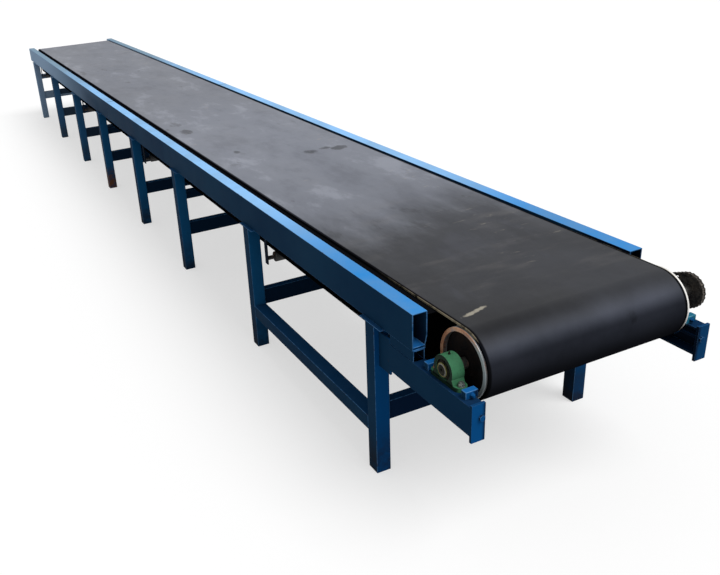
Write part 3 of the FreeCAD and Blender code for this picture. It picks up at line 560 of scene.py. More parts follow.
drum_steel = bare_metal("bare drum steel", rgb(120, 124, 128), rgb(178, 180, 182), 0.35)
rim_steel, shader, place = start_material("rusting rim steel", 0.5, 0.4, 0.15)
x, y, z = split(place)
fine = noise(place, 60.0, 6.0, 0.7)
near_end, far_end = ramp(y, 0.2, -0.3), ramp(y, -0.3, 0.2)
clean = tint(far_end, rgb(158, 168, 170), rgb(236, 234, 230))
brown = tint(ramp(fine, 0.35, 0.65), rgb(160, 104, 72), rgb(206, 160, 124))
rusted = ramp(z + fine * 0.04, 0.735, 0.775) * near_end | ramp(x, 4.02, 3.98) * near_end
clean = tint(ramp(z, 0.60, 0.56) * far_end, clean, rgb(40, 40, 42))
coat(shader, tint(rusted, clean, brown), fine, 0.0004, 0.5)
# The end discs are near-black: painted shade in their recesses.
shaded_disc_steel = mottled("dark end disc", 0.8, 0.06, 16.0, 8.0, rgb(12, 13, 15), rgb(34, 26, 22),
                     0.001, 0.6)


def lathe(bm, profile, centre, segments=96, material=0, closed=True):
    """Turn (radius, distance along +Y) points about an axis along Y through centre."""
    turns = [2 * math.pi * step / segments for step in range(segments)]
    rings = [[bm.verts.new((centre[0] + radius * math.cos(turn), centre[1] + along,
                            centre[2] + radius * math.sin(turn)))
              for turn in (turns if radius > 1e-6 else turns[:1])] for radius, along in profile]
    for first, second in zip(rings, rings[1:] + rings[:1] if closed else rings[1:]):
        for step in range(segments):
            after = (step + 1) % segments
            corners = []
            for ring, order in ((first, (step, after)), (second, (after, step))):
                corners += [ring[0]] if len(ring) == 1 else [ring[k] for k in order]
            if len(corners) >= 3:
                bm.faces.new(corners).material_index = material


def mirrored(profile, about=0.0):
    """A profile followed by its mirror image along the axis."""
    return profile + [(radius, 2 * about - along) for radius, along in reversed(profile)]


DRUM_RADIUS, RIM, RECESS, DISC, SHAFT, CHAMFER = 0.118, 0.014, 0.022, 0.028, 0.020, 0.0015
bore, inside = SHAFT + 0.0003, DRUM_RADIUS - RIM
for name, x in (("head", head_x), ("tail", tail_x)):
    low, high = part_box(f"{name}_drum")
    start, end = low[1], high[1] + (0.003 if name == "head" else 0.0)
    half, middle_y = (end - start) / 2, (start + end) / 2
    disc_face = half - RECESS
    if name == "head":
        cup = [(inside + 0.001, half), (inside, half - 0.001), (inside, disc_face + 0.005),
               (inside - 0.005, disc_face), (0.046, disc_face), (0.043, disc_face + 0.003),
               (0.040, disc_face + 0.012), (bore + 0.002, disc_face + 0.012),
               (bore, disc_face + 0.010), (bore, disc_face - DISC), (inside, disc_face - DISC)]
        raised_rim = [(0, half - 0.010), (0.0060, half - 0.0083), (0.0072, half - 0.0075),
                      (0.0072, half - 0.0012), (0.0060, half)]
        profile = [(DRUM_RADIUS, CHAMFER - half)] + \
            [(DRUM_RADIUS + rise, along) for rise, along in raised_rim] + \
            mirrored(cup) + [(DRUM_RADIUS - CHAMFER, -half)]
    else:
        profile = mirrored([(DRUM_RADIUS, half - CHAMFER), (DRUM_RADIUS - CHAMFER, half),
                            (bore + 0.001, half), (bore, half - 0.001), (bore, half - DISC),
                            (inside, half - DISC)])
    bm = bmesh.new()
    lathe(bm, profile, (x, middle_y, shaft_z), 128)
    for face in bm.faces:
        centre = face.calc_center_median()
        out = math.hypot(centre.x - x, centre.z - shaft_z)
        if out > inside and abs(centre.y - middle_y) > half - 0.02:
            face.material_index = 1
        elif out < inside - 0.0001:
            face.material_index = 2
    finish_piece(f"{name}_drum_turned", outward(bm), [drum_steel, rim_steel, shaded_disc_steel],
                 body=f"{name}_roller", stands_for=[f"{name}_drum"], crease=30)


# Shafts: bright turned bar with chamfered ends and a centre hole in each.
# The head shaft reaches through both bearings to the sprocket.
# A brass locking collar sits outside each head bearing and turns with the shaft.
shaft_steel = bare_metal("bright shaft bar", rgb(70, 70, 70), rgb(124, 122, 118), 0.0, 0.4, 0.9)
end_steel = mottled("dirty shaft end", 0.7, 0.03, 90.0, 6.0, rgb(20, 24, 23), rgb(62, 60, 52),
                    0.0004)
brass = bare_metal("brass collar", rgb(56, 54, 20), rgb(104, 100, 42), -0.6, 0.5, 0.6)
for name, x in (("head", head_x), ("tail", tail_x)):
    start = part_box(f"{name}_shaft")[0][1] - belt_y
    bm = bmesh.new()
    lathe(bm, mirrored([(0, start + 0.010), (0.004, start + 0.004), (0.0045, start),
                        (SHAFT - 0.002, start), (SHAFT, start + 0.002)],
                       middle(f"{name}_shaft")[1] - belt_y),
          (x, belt_y, shaft_z), 64, closed=False)
    for face in bm.faces:
        centre = face.calc_center_median()
        if math.hypot(centre.x - x, centre.z - shaft_z) < SHAFT - 0.0012:
            face.material_index = 1
    finish_piece(f"{name}_shaft_bar", outward(bm), [shaft_steel, end_steel],
                 body=f"{name}_roller", stands_for=[f"{name}_shaft"], crease=30)
COLLAR, COLLAR_LONG = 0.024, 0.003
low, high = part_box("head_shaft_collars")
bm = bmesh.new()
for start in (low[1], high[1] - COLLAR_LONG):
    lathe(bm, mirrored([(SHAFT + 0.0001, start), (COLLAR - 0.0007, start),
                        (COLLAR, start + 0.0007)], start + COLLAR_LONG / 2),
          (head_x, 0, shaft_z), 64)
finish_piece("head_shaft_collar_rings", outward(bm), [brass], body="head_roller",
             stands_for=["head_shaft_collars"], crease=30)


# Head beams: rolled channel with the web outwards, under the ends of the rails.
# Slots in the top flange let the bearings slide, and a plate closes the head end.
# A box section between each rail and its beam sets the height.
for side in ("near", "far"):
    for part, form, width in (("head_beam", "channel", 0.0015), ("head_spacer", "box", 0.0015),
                              ("take_up", "screw", 0.0008), ("tail_plate", "steel", 0.001)):
        copied_piece(f"{side}_{part}_{form}", f"{side}_{part}", width)


# Packing plates: flat bar welded between the last legs and the tail ends of the head beams.
# Each fills the slit that would let light through behind the leg.
def merge(bm, part):
    """Move what another bmesh holds into bm."""
    mesh = bpy.data.meshes.new("part")
    part.to_mesh(mesh)
    part.free()
    bm.from_mesh(mesh)


PACKING_THICK, PACKING_HIGH = 0.008, 0.140
face = leg_face(8)
packing = bmesh.new()
for side, outer in (("near", 0), ("far", 1)):
    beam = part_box(f"{side}_head_beam")
    start = beam[0][0]
    centre = ((face + start) / 2, beam[outer][1] + (0.006 if side == "near" else -0.006),
              middle(f"{side}_head_beam")[2] + 0.004)
    plate = bmesh.new()
    bmesh.ops.create_cube(plate, size=1.0, matrix=Matrix.Translation(centre) @ Matrix.Diagonal(
        (start - face - 0.0004, PACKING_THICK, PACKING_HIGH, 1.0)))
    bmesh.ops.bevel(plate, geom=list(plate.edges), offset=0.0012, segments=2, profile=0.5,
                    affect="EDGES", clamp_overlap=True)
    merge(packing, plate)
finish_piece("beam_packing_plates", outward(packing), [blue_paint])


# Head bearings: cast iron pillow blocks, one green and one teal, bolted down on the beams.
# Each is a flat foot with a bolt at each end, a round housing and an insert that tilts in it.
# A grease nipple stands on the housing.
def cast_paint(name, body_colour, worn_colour, round_face_shade=0.0):
    """Enamel over a sand casting: grainy, thin on the high spots, with painted shade on its round
    faces.
    """
    material, shader, place = start_material(name, 0.4, 0.02)
    darker = tuple(c * 0.72 for c in body_colour[:3]) + (1.0,)
    base = tint(ramp(noise(place, 24.0, 6.0, 0.6), 0.3, 0.7), body_colour, darker)
    base = tint(use(place, edge_wear, Amount=0.6, Scale=60.0)["Worn"], base, worn_colour)
    base = tint(ramp(noise(place, 70.0, 7.0, 0.7), 0.6, 0.66) * 0.6, base, rgb(40, 36, 30))
    # Faces turned along Y are darkened with painted shade.
    shaded_round_faces = ramp(abs(facing(place)[1]), 0.6, 0.95) * round_face_shade
    coat(shader, tint(shaded_round_faces, base, rgb(14, 20, 19)), noise(place, 340.0, 3.0, 0.6), 0.0007, 0.6)
    return material


bearing_green = cast_paint("green bearing enamel", rgb(66, 122, 88), rgb(120, 162, 134), 0.9)
bearing_teal = cast_paint("teal bearing enamel", rgb(40, 116, 146), rgb(116, 172, 186))
zinc = bare_metal("zinc-plated bolts", rgb(92, 100, 98), rgb(140, 146, 142), 0.3, 0.42)


def slab(bm, outline, plane, start, depth, material=0, holes=()):
    """A plate from an outline in two axes, with holes, made deep along the third."""
    corner = {"xz": lambda a, b, level: (a, level, b), "xy": lambda a, b, level: (a, b, level),
              "yz": lambda a, b, level: (level, a, b)}[plane]
    loops = [outline, *holes]
    triangles = tessellate_polygon([[Vector((a, b, 0)) for a, b in loop] for loop in loops])
    levels = [[[bm.verts.new(corner(a, b, level)) for a, b in loop] for loop in loops]
              for level in (start, start + depth)]
    for rows in levels:
        verts = [vert for loop in rows for vert in loop]
        for triangle in triangles:
            bm.faces.new([verts[k] for k in triangle]).material_index = material
    for low, high in zip(*levels):
        for k in range(len(low)):
            after = (k + 1) % len(low)
            wall = bm.faces.new([low[k], low[after], high[after], high[k]])
            wall.material_index = material


def polar(centre, radius, degrees):
    turn = math.radians(degrees)
    return (centre[0] + radius * math.cos(turn), centre[1] + radius * math.sin(turn))


def arc(centre, radius, start, end, steps):
    """Points on an arc, angles in degrees, both ends included."""
    return [polar(centre, radius, start + (end - start) * k / steps) for k in range(steps + 1)]


def hexagon(centre, radius):
    return arc(centre, radius, 0, 300, 5)


def round_hole(centre, radius):
    return arc(centre, radius, 360, 7.5, 47)


def round_off(bm, width):
    """Round the sharp edges of what has been modelled so far."""
    return bevelled(outward(joined_flats(bm)), width)


FOOT_HALF, FOOT_END, FOOT_THICK, BOLT_OFF = 0.080, 0.023, 0.015, 0.065
for side, enamel, slot in (("near", blue_paint, "blue_paint"),
                           ("far", bearing_teal, "bearing_teal")):
    copied_piece(f"{side}_bearing_stops_blocks", f"{side}_bearing_stops", 0.002, enamel)
for side, enamel, slot in (("near", bearing_green, "bearing_green"),
                           ("far", bearing_teal, "bearing_teal")):
    middle_y, foot_z = middle(f"{side}_head_bearing")[1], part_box(f"{side}_head_bearing")[0][2]
    plan, slots = [], []
    for s, first in ((1, -90), (-1, 90)):
        plan += arc((head_x + s * (FOOT_HALF - FOOT_END), middle_y), FOOT_END, first,
                    first + 180, 10)
        slots.append(arc((head_x - s * BOLT_OFF + 0.003, middle_y), 0.007, 90, -90, 6) +
                     arc((head_x - s * BOLT_OFF - 0.003, middle_y), 0.007, 270, 90, 6))
    bm = bmesh.new()
    slab(bm, plan, "xy", foot_z, FOOT_THICK, holes=slots)
    round_off(bm, 0.002)
    flank = [(head_x + 0.054, foot_z + 0.010), (head_x + 0.053, foot_z + 0.017),
             (head_x + 0.0495, foot_z + 0.023)]
    front = flank + arc((head_x, shaft_z), 0.049, -20, 200, 30) + \
        [(2 * head_x - x, z) for x, z in reversed(flank)]
    housing = bmesh.new()
    slab(housing, front, "xz", middle_y - 0.023, 0.046,
         holes=[round_hole((head_x, shaft_z), 0.036)])
    merge(bm, round_off(housing, 0.0025))
    insert = [(0.0361, 0.0205), (0.0345, 0.0205), (0.0335, 0.016), (0.0285, 0.0155),
              (0.0275, 0.022), (SHAFT + 0.0004, 0.022)]
    lathe(bm, [(0.0358, -0.017), (0.0355, 0.017)] + mirrored(insert),
          (head_x, middle_y, shaft_z), 48, 1)
    for bottom, top, wide in ((0.047, 0.053, 0.0042), (0.053, 0.058, 0.0026)):
        slab(bm, hexagon((head_x, middle_y), wide), "xy", shaft_z + bottom, top - bottom, 1)
    finish_piece(f"{side}_pillow_block", outward(bm), [enamel, end_steel],
                 stands_for=[f"{side}_head_bearing"], crease=35)


# Fixing bolts: hexagon heads on flat washers, zinc-plated where they were run down on site.
# Two hold each pillow block, four each tail bearing and two each leg plate to its rail.
# A jack screw through each head stop pushes its bearing along the beam.
bolt_tree, given = shape_tree("hexagon bolts", {
    "Across Corners": "Float", "Head Height": "Float", "Washer Radius": "Float",
    "Washer Thickness": "Float", "Seed": "Int"})


def raised(height):
    return add(bolt_tree, "ShaderNodeCombineXYZ", {2: height})


def disc(sides, radius, depth, rise):
    """A cylinder along Z with its middle at a height."""
    flat = add(bolt_tree, "GeometryNodeMeshCylinder",
               {"Vertices": sides, "Radius": radius, "Depth": depth})
    return add(bolt_tree, "GeometryNodeTransform", {"Geometry": flat, "Translation": raised(rise)})


half_head = given["Head Height"] * 0.5
head_rise = half_head + given["Washer Thickness"]
corner = given["Across Corners"] * 0.5
bolt = bolt_tree.nodes.new("GeometryNodeJoinGeometry")
for part in (disc(6, corner, given["Head Height"], head_rise),
             disc(12, corner * 0.62, given["Head Height"], head_rise + half_head),
             disc(20, given["Washer Radius"], given["Washer Thickness"],
                  given["Washer Thickness"] * 0.5)):
    feed(bolt, {0: part})
axis = add(bolt_tree, "GeometryNodeInputNamedAttribute", {"Name": "axis"},
           data_type="FLOAT_VECTOR")
upright = add(bolt_tree, "FunctionNodeAlignRotationToVector", {"Vector": axis}, axis="Z")
spin = add(bolt_tree, "FunctionNodeRandomValue", {2: 0.0, 3: 1.04, "Seed": given["Seed"]})[1]
turned = add(bolt_tree, "FunctionNodeRotateRotation",
             {"Rotation": upright,
              "Rotate By": add(bolt_tree, "FunctionNodeEulerToRotation", {0: raised(spin)})},
             rotation_space="LOCAL")
close_tree(given, add(bolt_tree, "GeometryNodeInstanceOnPoints",
                      {"Points": given["Geometry"], "Instance": Wire(bolt.outputs[0]),
                       "Rotation": turned}))


def bolt_piece(name, places, corners, height, washer, thick, seed, painted=False):
    """Bolts whose heads stand off each place along its own direction, as one piece."""
    mesh = bpy.data.meshes.new(name + " places")
    mesh.from_pydata([tuple(at) for at, _ in places], [], [])
    axis = mesh.attributes.new("axis", "FLOAT_VECTOR", "POINT")
    for k, (_, direction) in enumerate(places):
        axis.data[k].vector = direction
    bolts = grown(name, mesh, bolt_tree,
                  {"Across Corners": corners, "Head Height": height, "Washer Radius": washer,
                   "Washer Thickness": thick, "Seed": seed,
                   "Finish": blue_paint if painted else zinc})
    finish_piece(name, bolts, [], crease=30)


block_bolts, jack_screws, frame_bolts, flange_bolts = [], [], [], []
for side, inward in (("near", 1), ("far", -1)):
    low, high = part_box(f"{side}_head_bearing")
    block_bolts += [((head_x + s * BOLT_OFF, (low[1] + high[1]) / 2, low[2] + FOOT_THICK),
                     (0, 0, 1)) for s in (-1, 1)]
    low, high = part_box(f"{side}_bearing_stops")
    across = (low[1] + high[1]) / 2
    jack_screws += [((high[0] - 0.024, across, low[2] + 0.009), (-1, 0, 0)),
                    ((high[0], across, low[2] + 0.012), (1, 0, 0))]
    low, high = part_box(f"{side}_tail_bearing")
    face = (high[1] if inward > 0 else low[1]) - inward * 0.006
    flange_bolts += [((tail_x + sx * 0.036, face, shaft_z + sz * 0.036), (0, inward, 0))
                     for sx in (-1, 1) for sz in (-1, 1)]
for number in range(1, 9):
    low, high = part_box(f"leg_frame_{number}")
    frame_bolts += [((x, y, high[2] - PAD_THICK), (0, 0, -1))
                    for y in (low[1] + LEG / 2, high[1] - LEG / 2)
                    for x in (low[0] + 0.019, high[0] - 0.019)]
bolt_piece("pillow_block_bolts", block_bolts, 0.0215, 0.009, 0.0125, 0.002, 2)
bolt_piece("bearing_jack_screws", jack_screws, 0.014, 0.007, 0.0085, 0.0015, 4, painted=True)
bolt_piece("leg_plate_bolts", frame_bolts, 0.019, 0.008, 0.012, 0.002, 8, painted=True)
bolt_piece("tail_bearing_bolts", flange_bolts, 0.014, 0.005, 0.008, 0.0015, 3)


# Tail bearings: square cast flange housings with rounded corners and a turned boss.
# They are bolted to the plates inside the rails.
FLANGE_HALF, FLANGE_ROUND, FLANGE_THICK = 0.048, 0.012, 0.012
for side, inward in (("near", 1), ("far", -1)):
    low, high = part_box(f"{side}_tail_bearing")
    back = low[1] if inward > 0 else high[1]
    corner = FLANGE_HALF - FLANGE_ROUND
    plan = []
    for sx, sz, first in ((1, 1, 0), (-1, 1, 90), (-1, -1, 180), (1, -1, 270)):
        plan += arc((tail_x + sx * corner, shaft_z + sz * corner), FLANGE_ROUND, first,
                    first + 90, 5)
    bm = bmesh.new()
    slab(bm, plan, "xz", back if inward > 0 else back - FLANGE_THICK, FLANGE_THICK,
         holes=[round_hole((tail_x, shaft_z), SHAFT + 0.0004)])
    round_off(bm, 0.0015)
    boss = ((SHAFT + 0.0004, 0.011), (SHAFT + 0.0004, 0.018), (0.024, 0.018), (0.025, 0.0165),
            (0.029, 0.0165), (0.0305, 0.018), (0.036, 0.0175), (0.038, 0.011))
    lathe(bm, [(radius, along * inward) for radius, along in boss], (tail_x, back, shaft_z), 48)
    finish_piece(f"{side}_flange_housing", outward(bm), [bearing_teal],
                 stands_for=[f"{side}_tail_bearing"], crease=35)


# Return rollers: steel tube on a fixed hexagon spindle, with a bent bracket at each end.
# They carry the belt's lower run back under the bed beside every other frame.
roller_steel = bare_metal("dull roller tube", rgb(40, 41, 43), rgb(70, 70, 70), 0.45, 0.6, 0.4)
ROLLER, ROLLER_HALF, PAST_LEG, SPINDLE = 0.025, 0.416, 0.058, 0.010
low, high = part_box("return_rollers")
z = middle("return_rollers")[2]
bm = bmesh.new()
for number in (1, 3, 5, 7):
    x = leg_face(number) + PAST_LEG
    lathe(bm, mirrored([(ROLLER, ROLLER_HALF - 0.002), (ROLLER - 0.002, ROLLER_HALF),
                        (ROLLER - 0.003, ROLLER_HALF), (ROLLER - 0.0035, ROLLER_HALF - 0.004),
                        (0.016, ROLLER_HALF - 0.005), (0.015, ROLLER_HALF - 0.001),
                        (0.0115, ROLLER_HALF - 0.001)]), (x, belt_y, z), 48)
    slab(bm, hexagon((x, z), SPINDLE), "xz", low[1], high[1] - low[1])
finish_piece("return_roller_tubes", outward(bm), [roller_steel],
             stands_for=["return_rollers"], crease=30)
grimy_paint = mottled("grimy bracket paint", 0.7, 0.05, 40.0, 7.0, rgb(16, 26, 42),
                      rgb(40, 42, 46), 0.0006)
copied_piece("return_bracket_plates", "return_brackets", 0.001, grimy_paint)


# Chain drive: a roller chain from the small sprocket on the gearbox up to the head shaft.
# Teeth and links share one pitch. All of it is dark with old oil and dust.
oily_steel, shader, place = start_material("oily chain steel", 0.5, 0.25, 0.35)
grit = noise(place, 90.0, 7.0, 0.7)
coat(shader, tint(ramp(grit, 0.35, 0.68), rgb(46, 42, 40), rgb(100, 93, 86)), grit, 0.0005, 0.6,
     Roughness=ramp(grit, 0.3, 0.7, 0.3, 0.65))

PITCH, HEAD_TEETH, MOTOR_TEETH, STEPS, FALL = 0.015875, 24, 12, 41, 20.0
TOOTH, TOOTH_OVER, SEAT, LINK_ROLLER = 0.0086, 0.0022, 0.00545, 0.0046


def pitch_radius(teeth):
    return PITCH / (2 * math.sin(math.pi / teeth))


large, small = pitch_radius(HEAD_TEETH), pitch_radius(MOTOR_TEETH)
apart = math.hypot(STEPS * PITCH, large - small)
touch = 90 + math.degrees(math.atan2(large - small, STEPS * PITCH))
motor_x = head_x - apart * math.cos(math.radians(FALL))
motor_z = shaft_z - apart * math.sin(math.radians(FALL))
head, motor, chain_y = (head_x, shaft_z), (motor_x, motor_z), middle("drive_chain")[1]


def toothed(centre, teeth):
    """The toothed outline in X and Z: a round seat for each roller, then the tooth's flanks."""
    points, each = [], 360 / teeth
    tip = pitch_radius(teeth) + TOOTH_OVER
    flank = math.degrees(0.0059 / tip)
    for number in range(teeth):
        turn = FALL + touch + number * each
        roller = polar(centre, pitch_radius(teeth), turn)
        points += [polar(roller, SEAT, turn + 180 + bend) for bend in range(90, -91, -30)]
        points += [polar(centre, tip - lower, turn + on)
                   for lower, on in ((0.0006, flank - 0.3), (0, flank + 0.6),
                                     (0, each - flank - 0.6), (0.0006, each - flank + 0.3))]
    return points


for name, centre, teeth, bore, hub, hub_long, body in (
        ("head_sprocket", head, HEAD_TEETH, SHAFT + 0.0001, 0.032, 0.016, "head_roller"),
        ("motor_sprocket", motor, MOTOR_TEETH, 0.0121, 0.020, 0.012, "root")):
    bm = bmesh.new()
    slab(bm, toothed(centre, teeth), "xz", chain_y - TOOTH / 2, TOOTH,
         holes=[round_hole(centre, bore)])
    start, end = TOOTH / 2 - 0.001, TOOTH / 2 + hub_long
    lathe(bm, [(bore, start), (bore, end), (hub - 0.001, end), (hub, end - 0.001), (hub, start)],
          (centre[0], chain_y, centre[1]), 48)
    finish_piece(f"{name}_wheel", outward(bm), [oily_steel], body=body,
                 stands_for=[name], crease=30)


def between(start, end, share):
    return (start[0] + (end[0] - start[0]) * share, start[1] + (end[1] - start[1]) * share)


def chain_points():
    """The pins' centres in X and Z, in order round the loop."""
    start, end = polar(motor, small, FALL + touch), polar(head, large, FALL + touch)
    points = [between(start, end, k / STEPS) for k in range(STEPS)]
    points += [polar(head, large, FALL + touch - k * 15) for k in range(13)]
    head_low, motor_low = polar(head, large, FALL - touch), polar(motor, small, FALL - touch)
    over_head = math.radians(2 * touch - 180) * large
    straight = math.dist(head_low, motor_low)
    over_motor = math.radians(360 - 2 * touch - 150) * small
    count = round((over_head + straight + over_motor) / PITCH)
    for k in range(1, count):
        run = k * (over_head + straight + over_motor) / count - over_head
        if run > straight:
            turned_by = math.degrees((run - straight) / small)
            points.append(polar(motor, small, FALL - touch - turned_by))
        elif run > 0:
            points.append(between(head_low, motor_low, run / straight))
    return points + [polar(motor, small, FALL + touch + k * 30) for k in range(5, 0, -1)]


def link_pattern(name, inner_face, plate):
    """One link along +X from its first pin: a waisted plate each side, rollers or pins."""
    bm = bmesh.new()
    outline = arc((PITCH, 0), 0.0066, -66, 66, 6) + [(PITCH / 2, 0.0048)] + \
        arc((0, 0), 0.0066, 114, 246, 6) + [(PITCH / 2, -0.0048)]
    for start in (-inner_face - plate, inner_face):
        slab(bm, outline, "xz", start, plate)
    for x in (0.0, PITCH):
        if name == "outer link":
            reach = inner_face + plate + 0.0004
            slab(bm, arc((x, 0), 0.0024, 0, 315, 7), "xz", -reach, 2 * reach)
        else:
            slab(bm, arc((x, 0), LINK_ROLLER, 0, 330, 11), "xz", -inner_face, 2 * inner_face)
    mesh = bpy.data.meshes.new(name)
    outward(bm).to_mesh(mesh)
    bm.free()
    pattern = bpy.data.objects.new(name, mesh)
    scene.collection.objects.link(pattern)
    return pattern


chain_tree, given = shape_tree("roller chain", {"Inner Link": "Object", "Outer Link": "Object"})
slope = add(chain_tree, "GeometryNodeInputNamedAttribute", {"Name": "slope"})
outer = add(chain_tree, "GeometryNodeInputNamedAttribute", {"Name": "outer"}, data_type="BOOLEAN")
inner = add(chain_tree, "FunctionNodeBooleanMath", {0: outer}, operation="NOT")
turn = add(chain_tree, "FunctionNodeEulerToRotation",
           {0: add(chain_tree, "ShaderNodeCombineXYZ", {1: slope})})
both = chain_tree.nodes.new("GeometryNodeJoinGeometry")
for label, chosen in (("Inner Link", inner), ("Outer Link", outer)):
    link = add(chain_tree, "GeometryNodeObjectInfo", {"Object": given[label]})["Geometry"]
    feed(both, {0: add(chain_tree, "GeometryNodeInstanceOnPoints",
                       {"Points": given["Geometry"], "Selection": chosen, "Instance": link,
                        "Rotation": turn})})
close_tree(given, Wire(both.outputs[0]))

points = chain_points()
pins = bpy.data.meshes.new("chain pins")
pins.from_pydata([(x, chain_y, z) for x, z in points], [], [])
slope = pins.attributes.new("slope", "FLOAT", "POINT")
outer = pins.attributes.new("outer", "BOOLEAN", "POINT")
for k, (x, z) in enumerate(points):
    after = points[(k + 1) % len(points)]
    slope.data[k].value = -math.atan2(after[1] - z, after[0] - x)
    outer.data[k].value = k % 2 == 1
patterns = [link_pattern("inner link", 0.0053, 0.0010), link_pattern("outer link", 0.0064, 0.0009)]
links = grown("drive_chain_links", pins, chain_tree,
              {"Inner Link": patterns[0], "Outer Link": patterns[1], "Finish": oily_steel})
for pattern in patterns:
    bpy.data.objects.remove(pattern)
finish_piece("drive_chain_links", links, [], stands_for=["drive_chain"], crease=30)


# Gear motor: a cast gearbox on a bolted foot, with a finned motor behind it.
# A round cover closes the gearbox's outer side, and a ring holds the shaft's seal.
# The motor has cast fins, end bells, a fan cowl with slots and a terminal box with its gland.
gear_paint = cast_paint("gearbox enamel", rgb(46, 78, 104), rgb(128, 148, 164))
motor_paint = cast_paint("motor enamel", rgb(38, 70, 100), rgb(124, 144, 158))
GEAR_WIDE = 0.110
low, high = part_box("gearbox")
foot_low, case_out = low[2], high[1]
case_in = case_out - GEAR_WIDE
bm = rounded_copy("gearbox", 0.003)
lathe(bm, [(0.0, -0.002), (0.0, 0.005), (0.016, 0.005), (0.018, 0.008), (0.050, 0.008),
           (0.052, 0.006), (0.052, -0.002)], (motor_x, case_out, motor_z), 64, closed=False)
lathe(bm, [(0.0125, 0.002), (0.0125, -0.004), (0.017, -0.004), (0.018, -0.009), (0.034, -0.009),
           (0.036, -0.007), (0.036, 0.002)], (motor_x, case_in, motor_z), 48)
for k, wide in enumerate((0.011, 0.0075)):
    slab(bm, hexagon((motor_x + 0.035, (case_in + case_out) / 2), wide), "xy",
         high[2] - 0.001 + k * 0.006, 0.007)
for x in (motor_x - 0.052, motor_x + 0.052):
    slab(bm, [(x - 0.004, foot_low + 0.011), (x + 0.004, foot_low + 0.011),
              (x + 0.004, foot_low + 0.050), (x - 0.004, foot_low + 0.040)], "xz",
         case_out - 0.001, 0.006)
finish_piece("gearbox_case", outward(bm), [gear_paint], stands_for=["gearbox"])

gear_bolts = [((x, case_out + 0.008, z), (0, 1, 0))
              for x, z in hexagon((motor_x, motor_z), 0.043)]
gear_bolts += [((motor_x + s * 0.088, y, foot_low + 0.012), (0, 0, 1))
               for s in (-1, 1) for y in (case_in + 0.018, case_out - 0.018)]
bolt_piece("gearbox_bolts", gear_bolts, 0.013, 0.005, 0.008, 0.0012, 5)


def along_x(bm, profile, start, segments=64, material=0):
    """A lathed ring whose axis runs along -X from a place on the motor's axis."""
    ring = bmesh.new()
    lathe(ring, profile, (0, 0, 0), segments, material)
    ring.transform(Matrix.Translation((start, axis_y, axis_z)) @
                   Matrix.Rotation(math.radians(90), 4, "Z"))
    merge(bm, ring)


FINS, CORE, OVER_FINS, BELL, BOX_HALF = 30, 0.0535, 0.0615, 0.0605, 0.0345
low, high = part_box("motor")
can_start, can_end, top_z = high[0], low[0], high[2]
axis_y, axis_z = (case_in + case_out) / 2, motor_z + 0.005
bm = bmesh.new()
along_x(bm, [(0.001, 0.0), (0.058, 0.0), (BELL, 0.003), (BELL, 0.016), (0.057, 0.022),
             (0.001, 0.022)], can_start)
ring = [polar((axis_y, axis_z), radius, 360 * (number + share) / FINS) for number in range(FINS)
        for share, radius in ((0.08, CORE), (0.30, OVER_FINS), (0.48, OVER_FINS), (0.70, CORE))]
slab(bm, ring, "yz", can_end + 0.056, can_start - can_end - 0.077)
along_x(bm, [(0.001, 0.0), (0.056, 0.0), (BELL, 0.004), (BELL, 0.010), (0.001, 0.010)],
        can_end + 0.060)
along_x(bm, [(0.012, 0.002), (0.0595, 0.002), (BELL, 0.004), (BELL, 0.044), (0.0585, 0.049),
             (0.052, 0.0505), (0.052, 0.048), (0.012, 0.048)], can_end + 0.0515, 64, 1)
for radius in (0.014, 0.022, 0.030, 0.038, 0.046):
    along_x(bm, [(radius, 0.0475), (radius + 0.0045, 0.0475), (radius + 0.0045, 0.0502),
                 (radius, 0.0502)], can_end + 0.0515, 48, 1)
for k in range(4):
    across, up = polar((0, 0), 1, 45 + 90 * k)
    slab(bm, [(axis_y + across * a - up * b, axis_z + up * a + across * b)
              for a, b in ((0.012, -0.002), (0.053, -0.002), (0.053, 0.002), (0.012, 0.002))],
         "yz", can_end + 0.0012, 0.003, 1)
box_start, box_end = can_start - 0.130, can_start - 0.050
for inset, bottom, top in ((0.001, axis_z + 0.045, top_z - 0.008), (0.0, top_z - 0.0075, top_z)):
    reach = BOX_HALF - inset
    lid = bmesh.new()
    slab(lid, [(box_start + inset, axis_y - reach), (box_end - inset, axis_y - reach),
               (box_end - inset, axis_y + reach), (box_start + inset, axis_y + reach)],
         "xy", bottom, top - bottom)
    merge(bm, round_off(lid, 0.003))
gland = [(0.004, 0.0), (0.010, 0.0), (0.010, 0.006), (0.0075, 0.007), (0.0075, 0.016),
         (0.004, 0.016)]
lathe(bm, gland, ((box_start + box_end) / 2, axis_y + BOX_HALF - 0.001, top_z - 0.020), 24, 1)
cowl = bare_metal("fan cowl sheet", rgb(26, 34, 44), rgb(52, 60, 70), 0.25, 0.5, 0.3)
finish_piece("motor_case", outward(bm), [motor_paint, cowl], stands_for=["motor"],
             crease=32)
lid_screws = [((x, y, top_z), (0, 0, 1)) for x in (box_start + 0.008, box_end - 0.008)
              for y in (axis_y - 0.027, axis_y + 0.027)]
bolt_piece("terminal_box_screws", lid_screws, 0.007, 0.002, 0.0045, 0.0008, 6)


# Motor shelf: folded plate on two gussets, sprayed with the frame.
# Four bolts hold its back to the chain-side rail.
copied_piece("motor_shelf_plate", "motor_shelf", 0.0012)
low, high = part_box("motor_shelf")
shelf_bolts = [((low[0] + (high[0] - low[0]) * share, low[1] + 0.010, high[2] - 0.022), (0, 1, 0))
               for share in (0.08, 0.36, 0.64, 0.92)]
bolt_piece("motor_shelf_bolts", shelf_bolts, 0.020, 0.0075, 0.012, 0.002, 7)


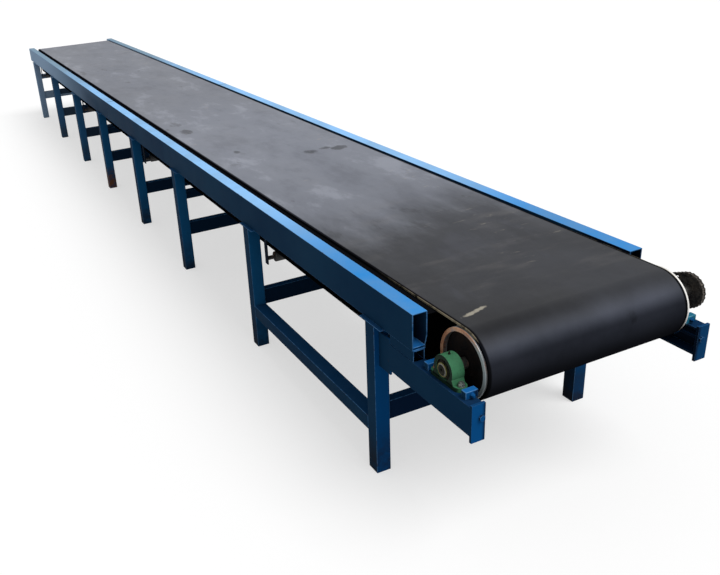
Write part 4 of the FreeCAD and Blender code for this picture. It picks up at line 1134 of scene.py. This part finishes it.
# Studio: a plain pale floor that keeps the shadow, soft light from above, white behind.
# The camera stands where the photograph was taken from.
floor = bpy.data.meshes.new("floor")
floor.from_pydata([(60 * x, 60 * y, -0.0005) for x, y in ((-1, -1), (1, -1), (1, 1), (-1, 1))],
                  [], [(0, 1, 2, 3)])
pale, shader, _ = start_material("pale studio floor", 0.9, 0.1)
feed(shader, {"Base Color": (0.42, 0.42, 0.42, 1.0)})
tree, lit = pale.node_tree, Wire(shader.outputs[0])
path = add(tree, "ShaderNodeLightPath")
seen = path["Is Camera Ray"] | path["Is Glossy Ray"]
glow = add(tree, "ShaderNodeEmission", {"Color": (1, 1, 1, 1), "Strength": 0.6})
both = add(tree, "ShaderNodeAddShader", {0: lit, 1: glow})
feed(tree.nodes["Material Output"],
     {"Surface": add(tree, "ShaderNodeMixShader", {0: seen, 1: lit, 2: both})})
floor.materials.append(pale)
ground = bpy.data.objects.new("floor", floor)
scene.collection.objects.link(ground)

world = bpy.data.worlds.new("studio")
scene.world = world
world.use_nodes = True
sky = world.node_tree
plain = sky.nodes["Background"]
feed(plain, {"Color": (1, 1, 1, 1), "Strength": 0.42})
white = add(sky, "ShaderNodeBackground", {"Color": (1, 1, 1, 1), "Strength": 1.0})
path = add(sky, "ShaderNodeLightPath")
seen = path["Is Camera Ray"] | path["Is Glossy Ray"] | path["Is Transmission Ray"]
feed(sky.nodes["World Output"],
     {"Surface": add(sky, "ShaderNodeMixShader", {0: seen, 1: Wire(plain.outputs[0]), 2: white})})

sun = bpy.data.lights.new("overhead softbox", "SUN")
sun.energy, sun.angle = 2.15, math.radians(40)
lamp = bpy.data.objects.new("overhead softbox", sun)
lamp.rotation_euler = Vector((0.55, 0.35, 1.0)).to_track_quat("Z", "Y").to_euler()
scene.collection.objects.link(lamp)

PIXELS_WIDE, FOCAL_PIXELS, SENSOR = 720, 797.4, 36
YAW, PITCH_DOWN, ROLL = math.radians(67.11), math.radians(24.16), math.radians(-4.45)
forward = Vector((-math.sin(YAW) * math.cos(PITCH_DOWN), math.cos(YAW) * math.cos(PITCH_DOWN),
                  -math.sin(PITCH_DOWN)))
right = Vector((math.cos(YAW), math.sin(YAW), 0))
up = right.cross(forward)
tilted_right = right * math.cos(ROLL) + up * math.sin(ROLL)
tilted_up = up * math.cos(ROLL) - right * math.sin(ROLL)
lens = bpy.data.cameras.new("camera")
lens.sensor_width, lens.lens = SENSOR, FOCAL_PIXELS / PIXELS_WIDE * SENSOR
lens.shift_x, lens.shift_y = (360 - 282.1) / PIXELS_WIDE, (277.5 - 287.5) / PIXELS_WIDE
lens.clip_end = 200
camera = bpy.data.objects.new("camera", lens)
turn = Matrix((tilted_right, tilted_up, -forward)).transposed()
camera.matrix_world = Matrix.Translation((5.828, -1.863, 1.949)) @ turn.to_4x4()
scene.collection.objects.link(camera)
scene.camera = camera
scene.view_settings.view_transform = "Standard"
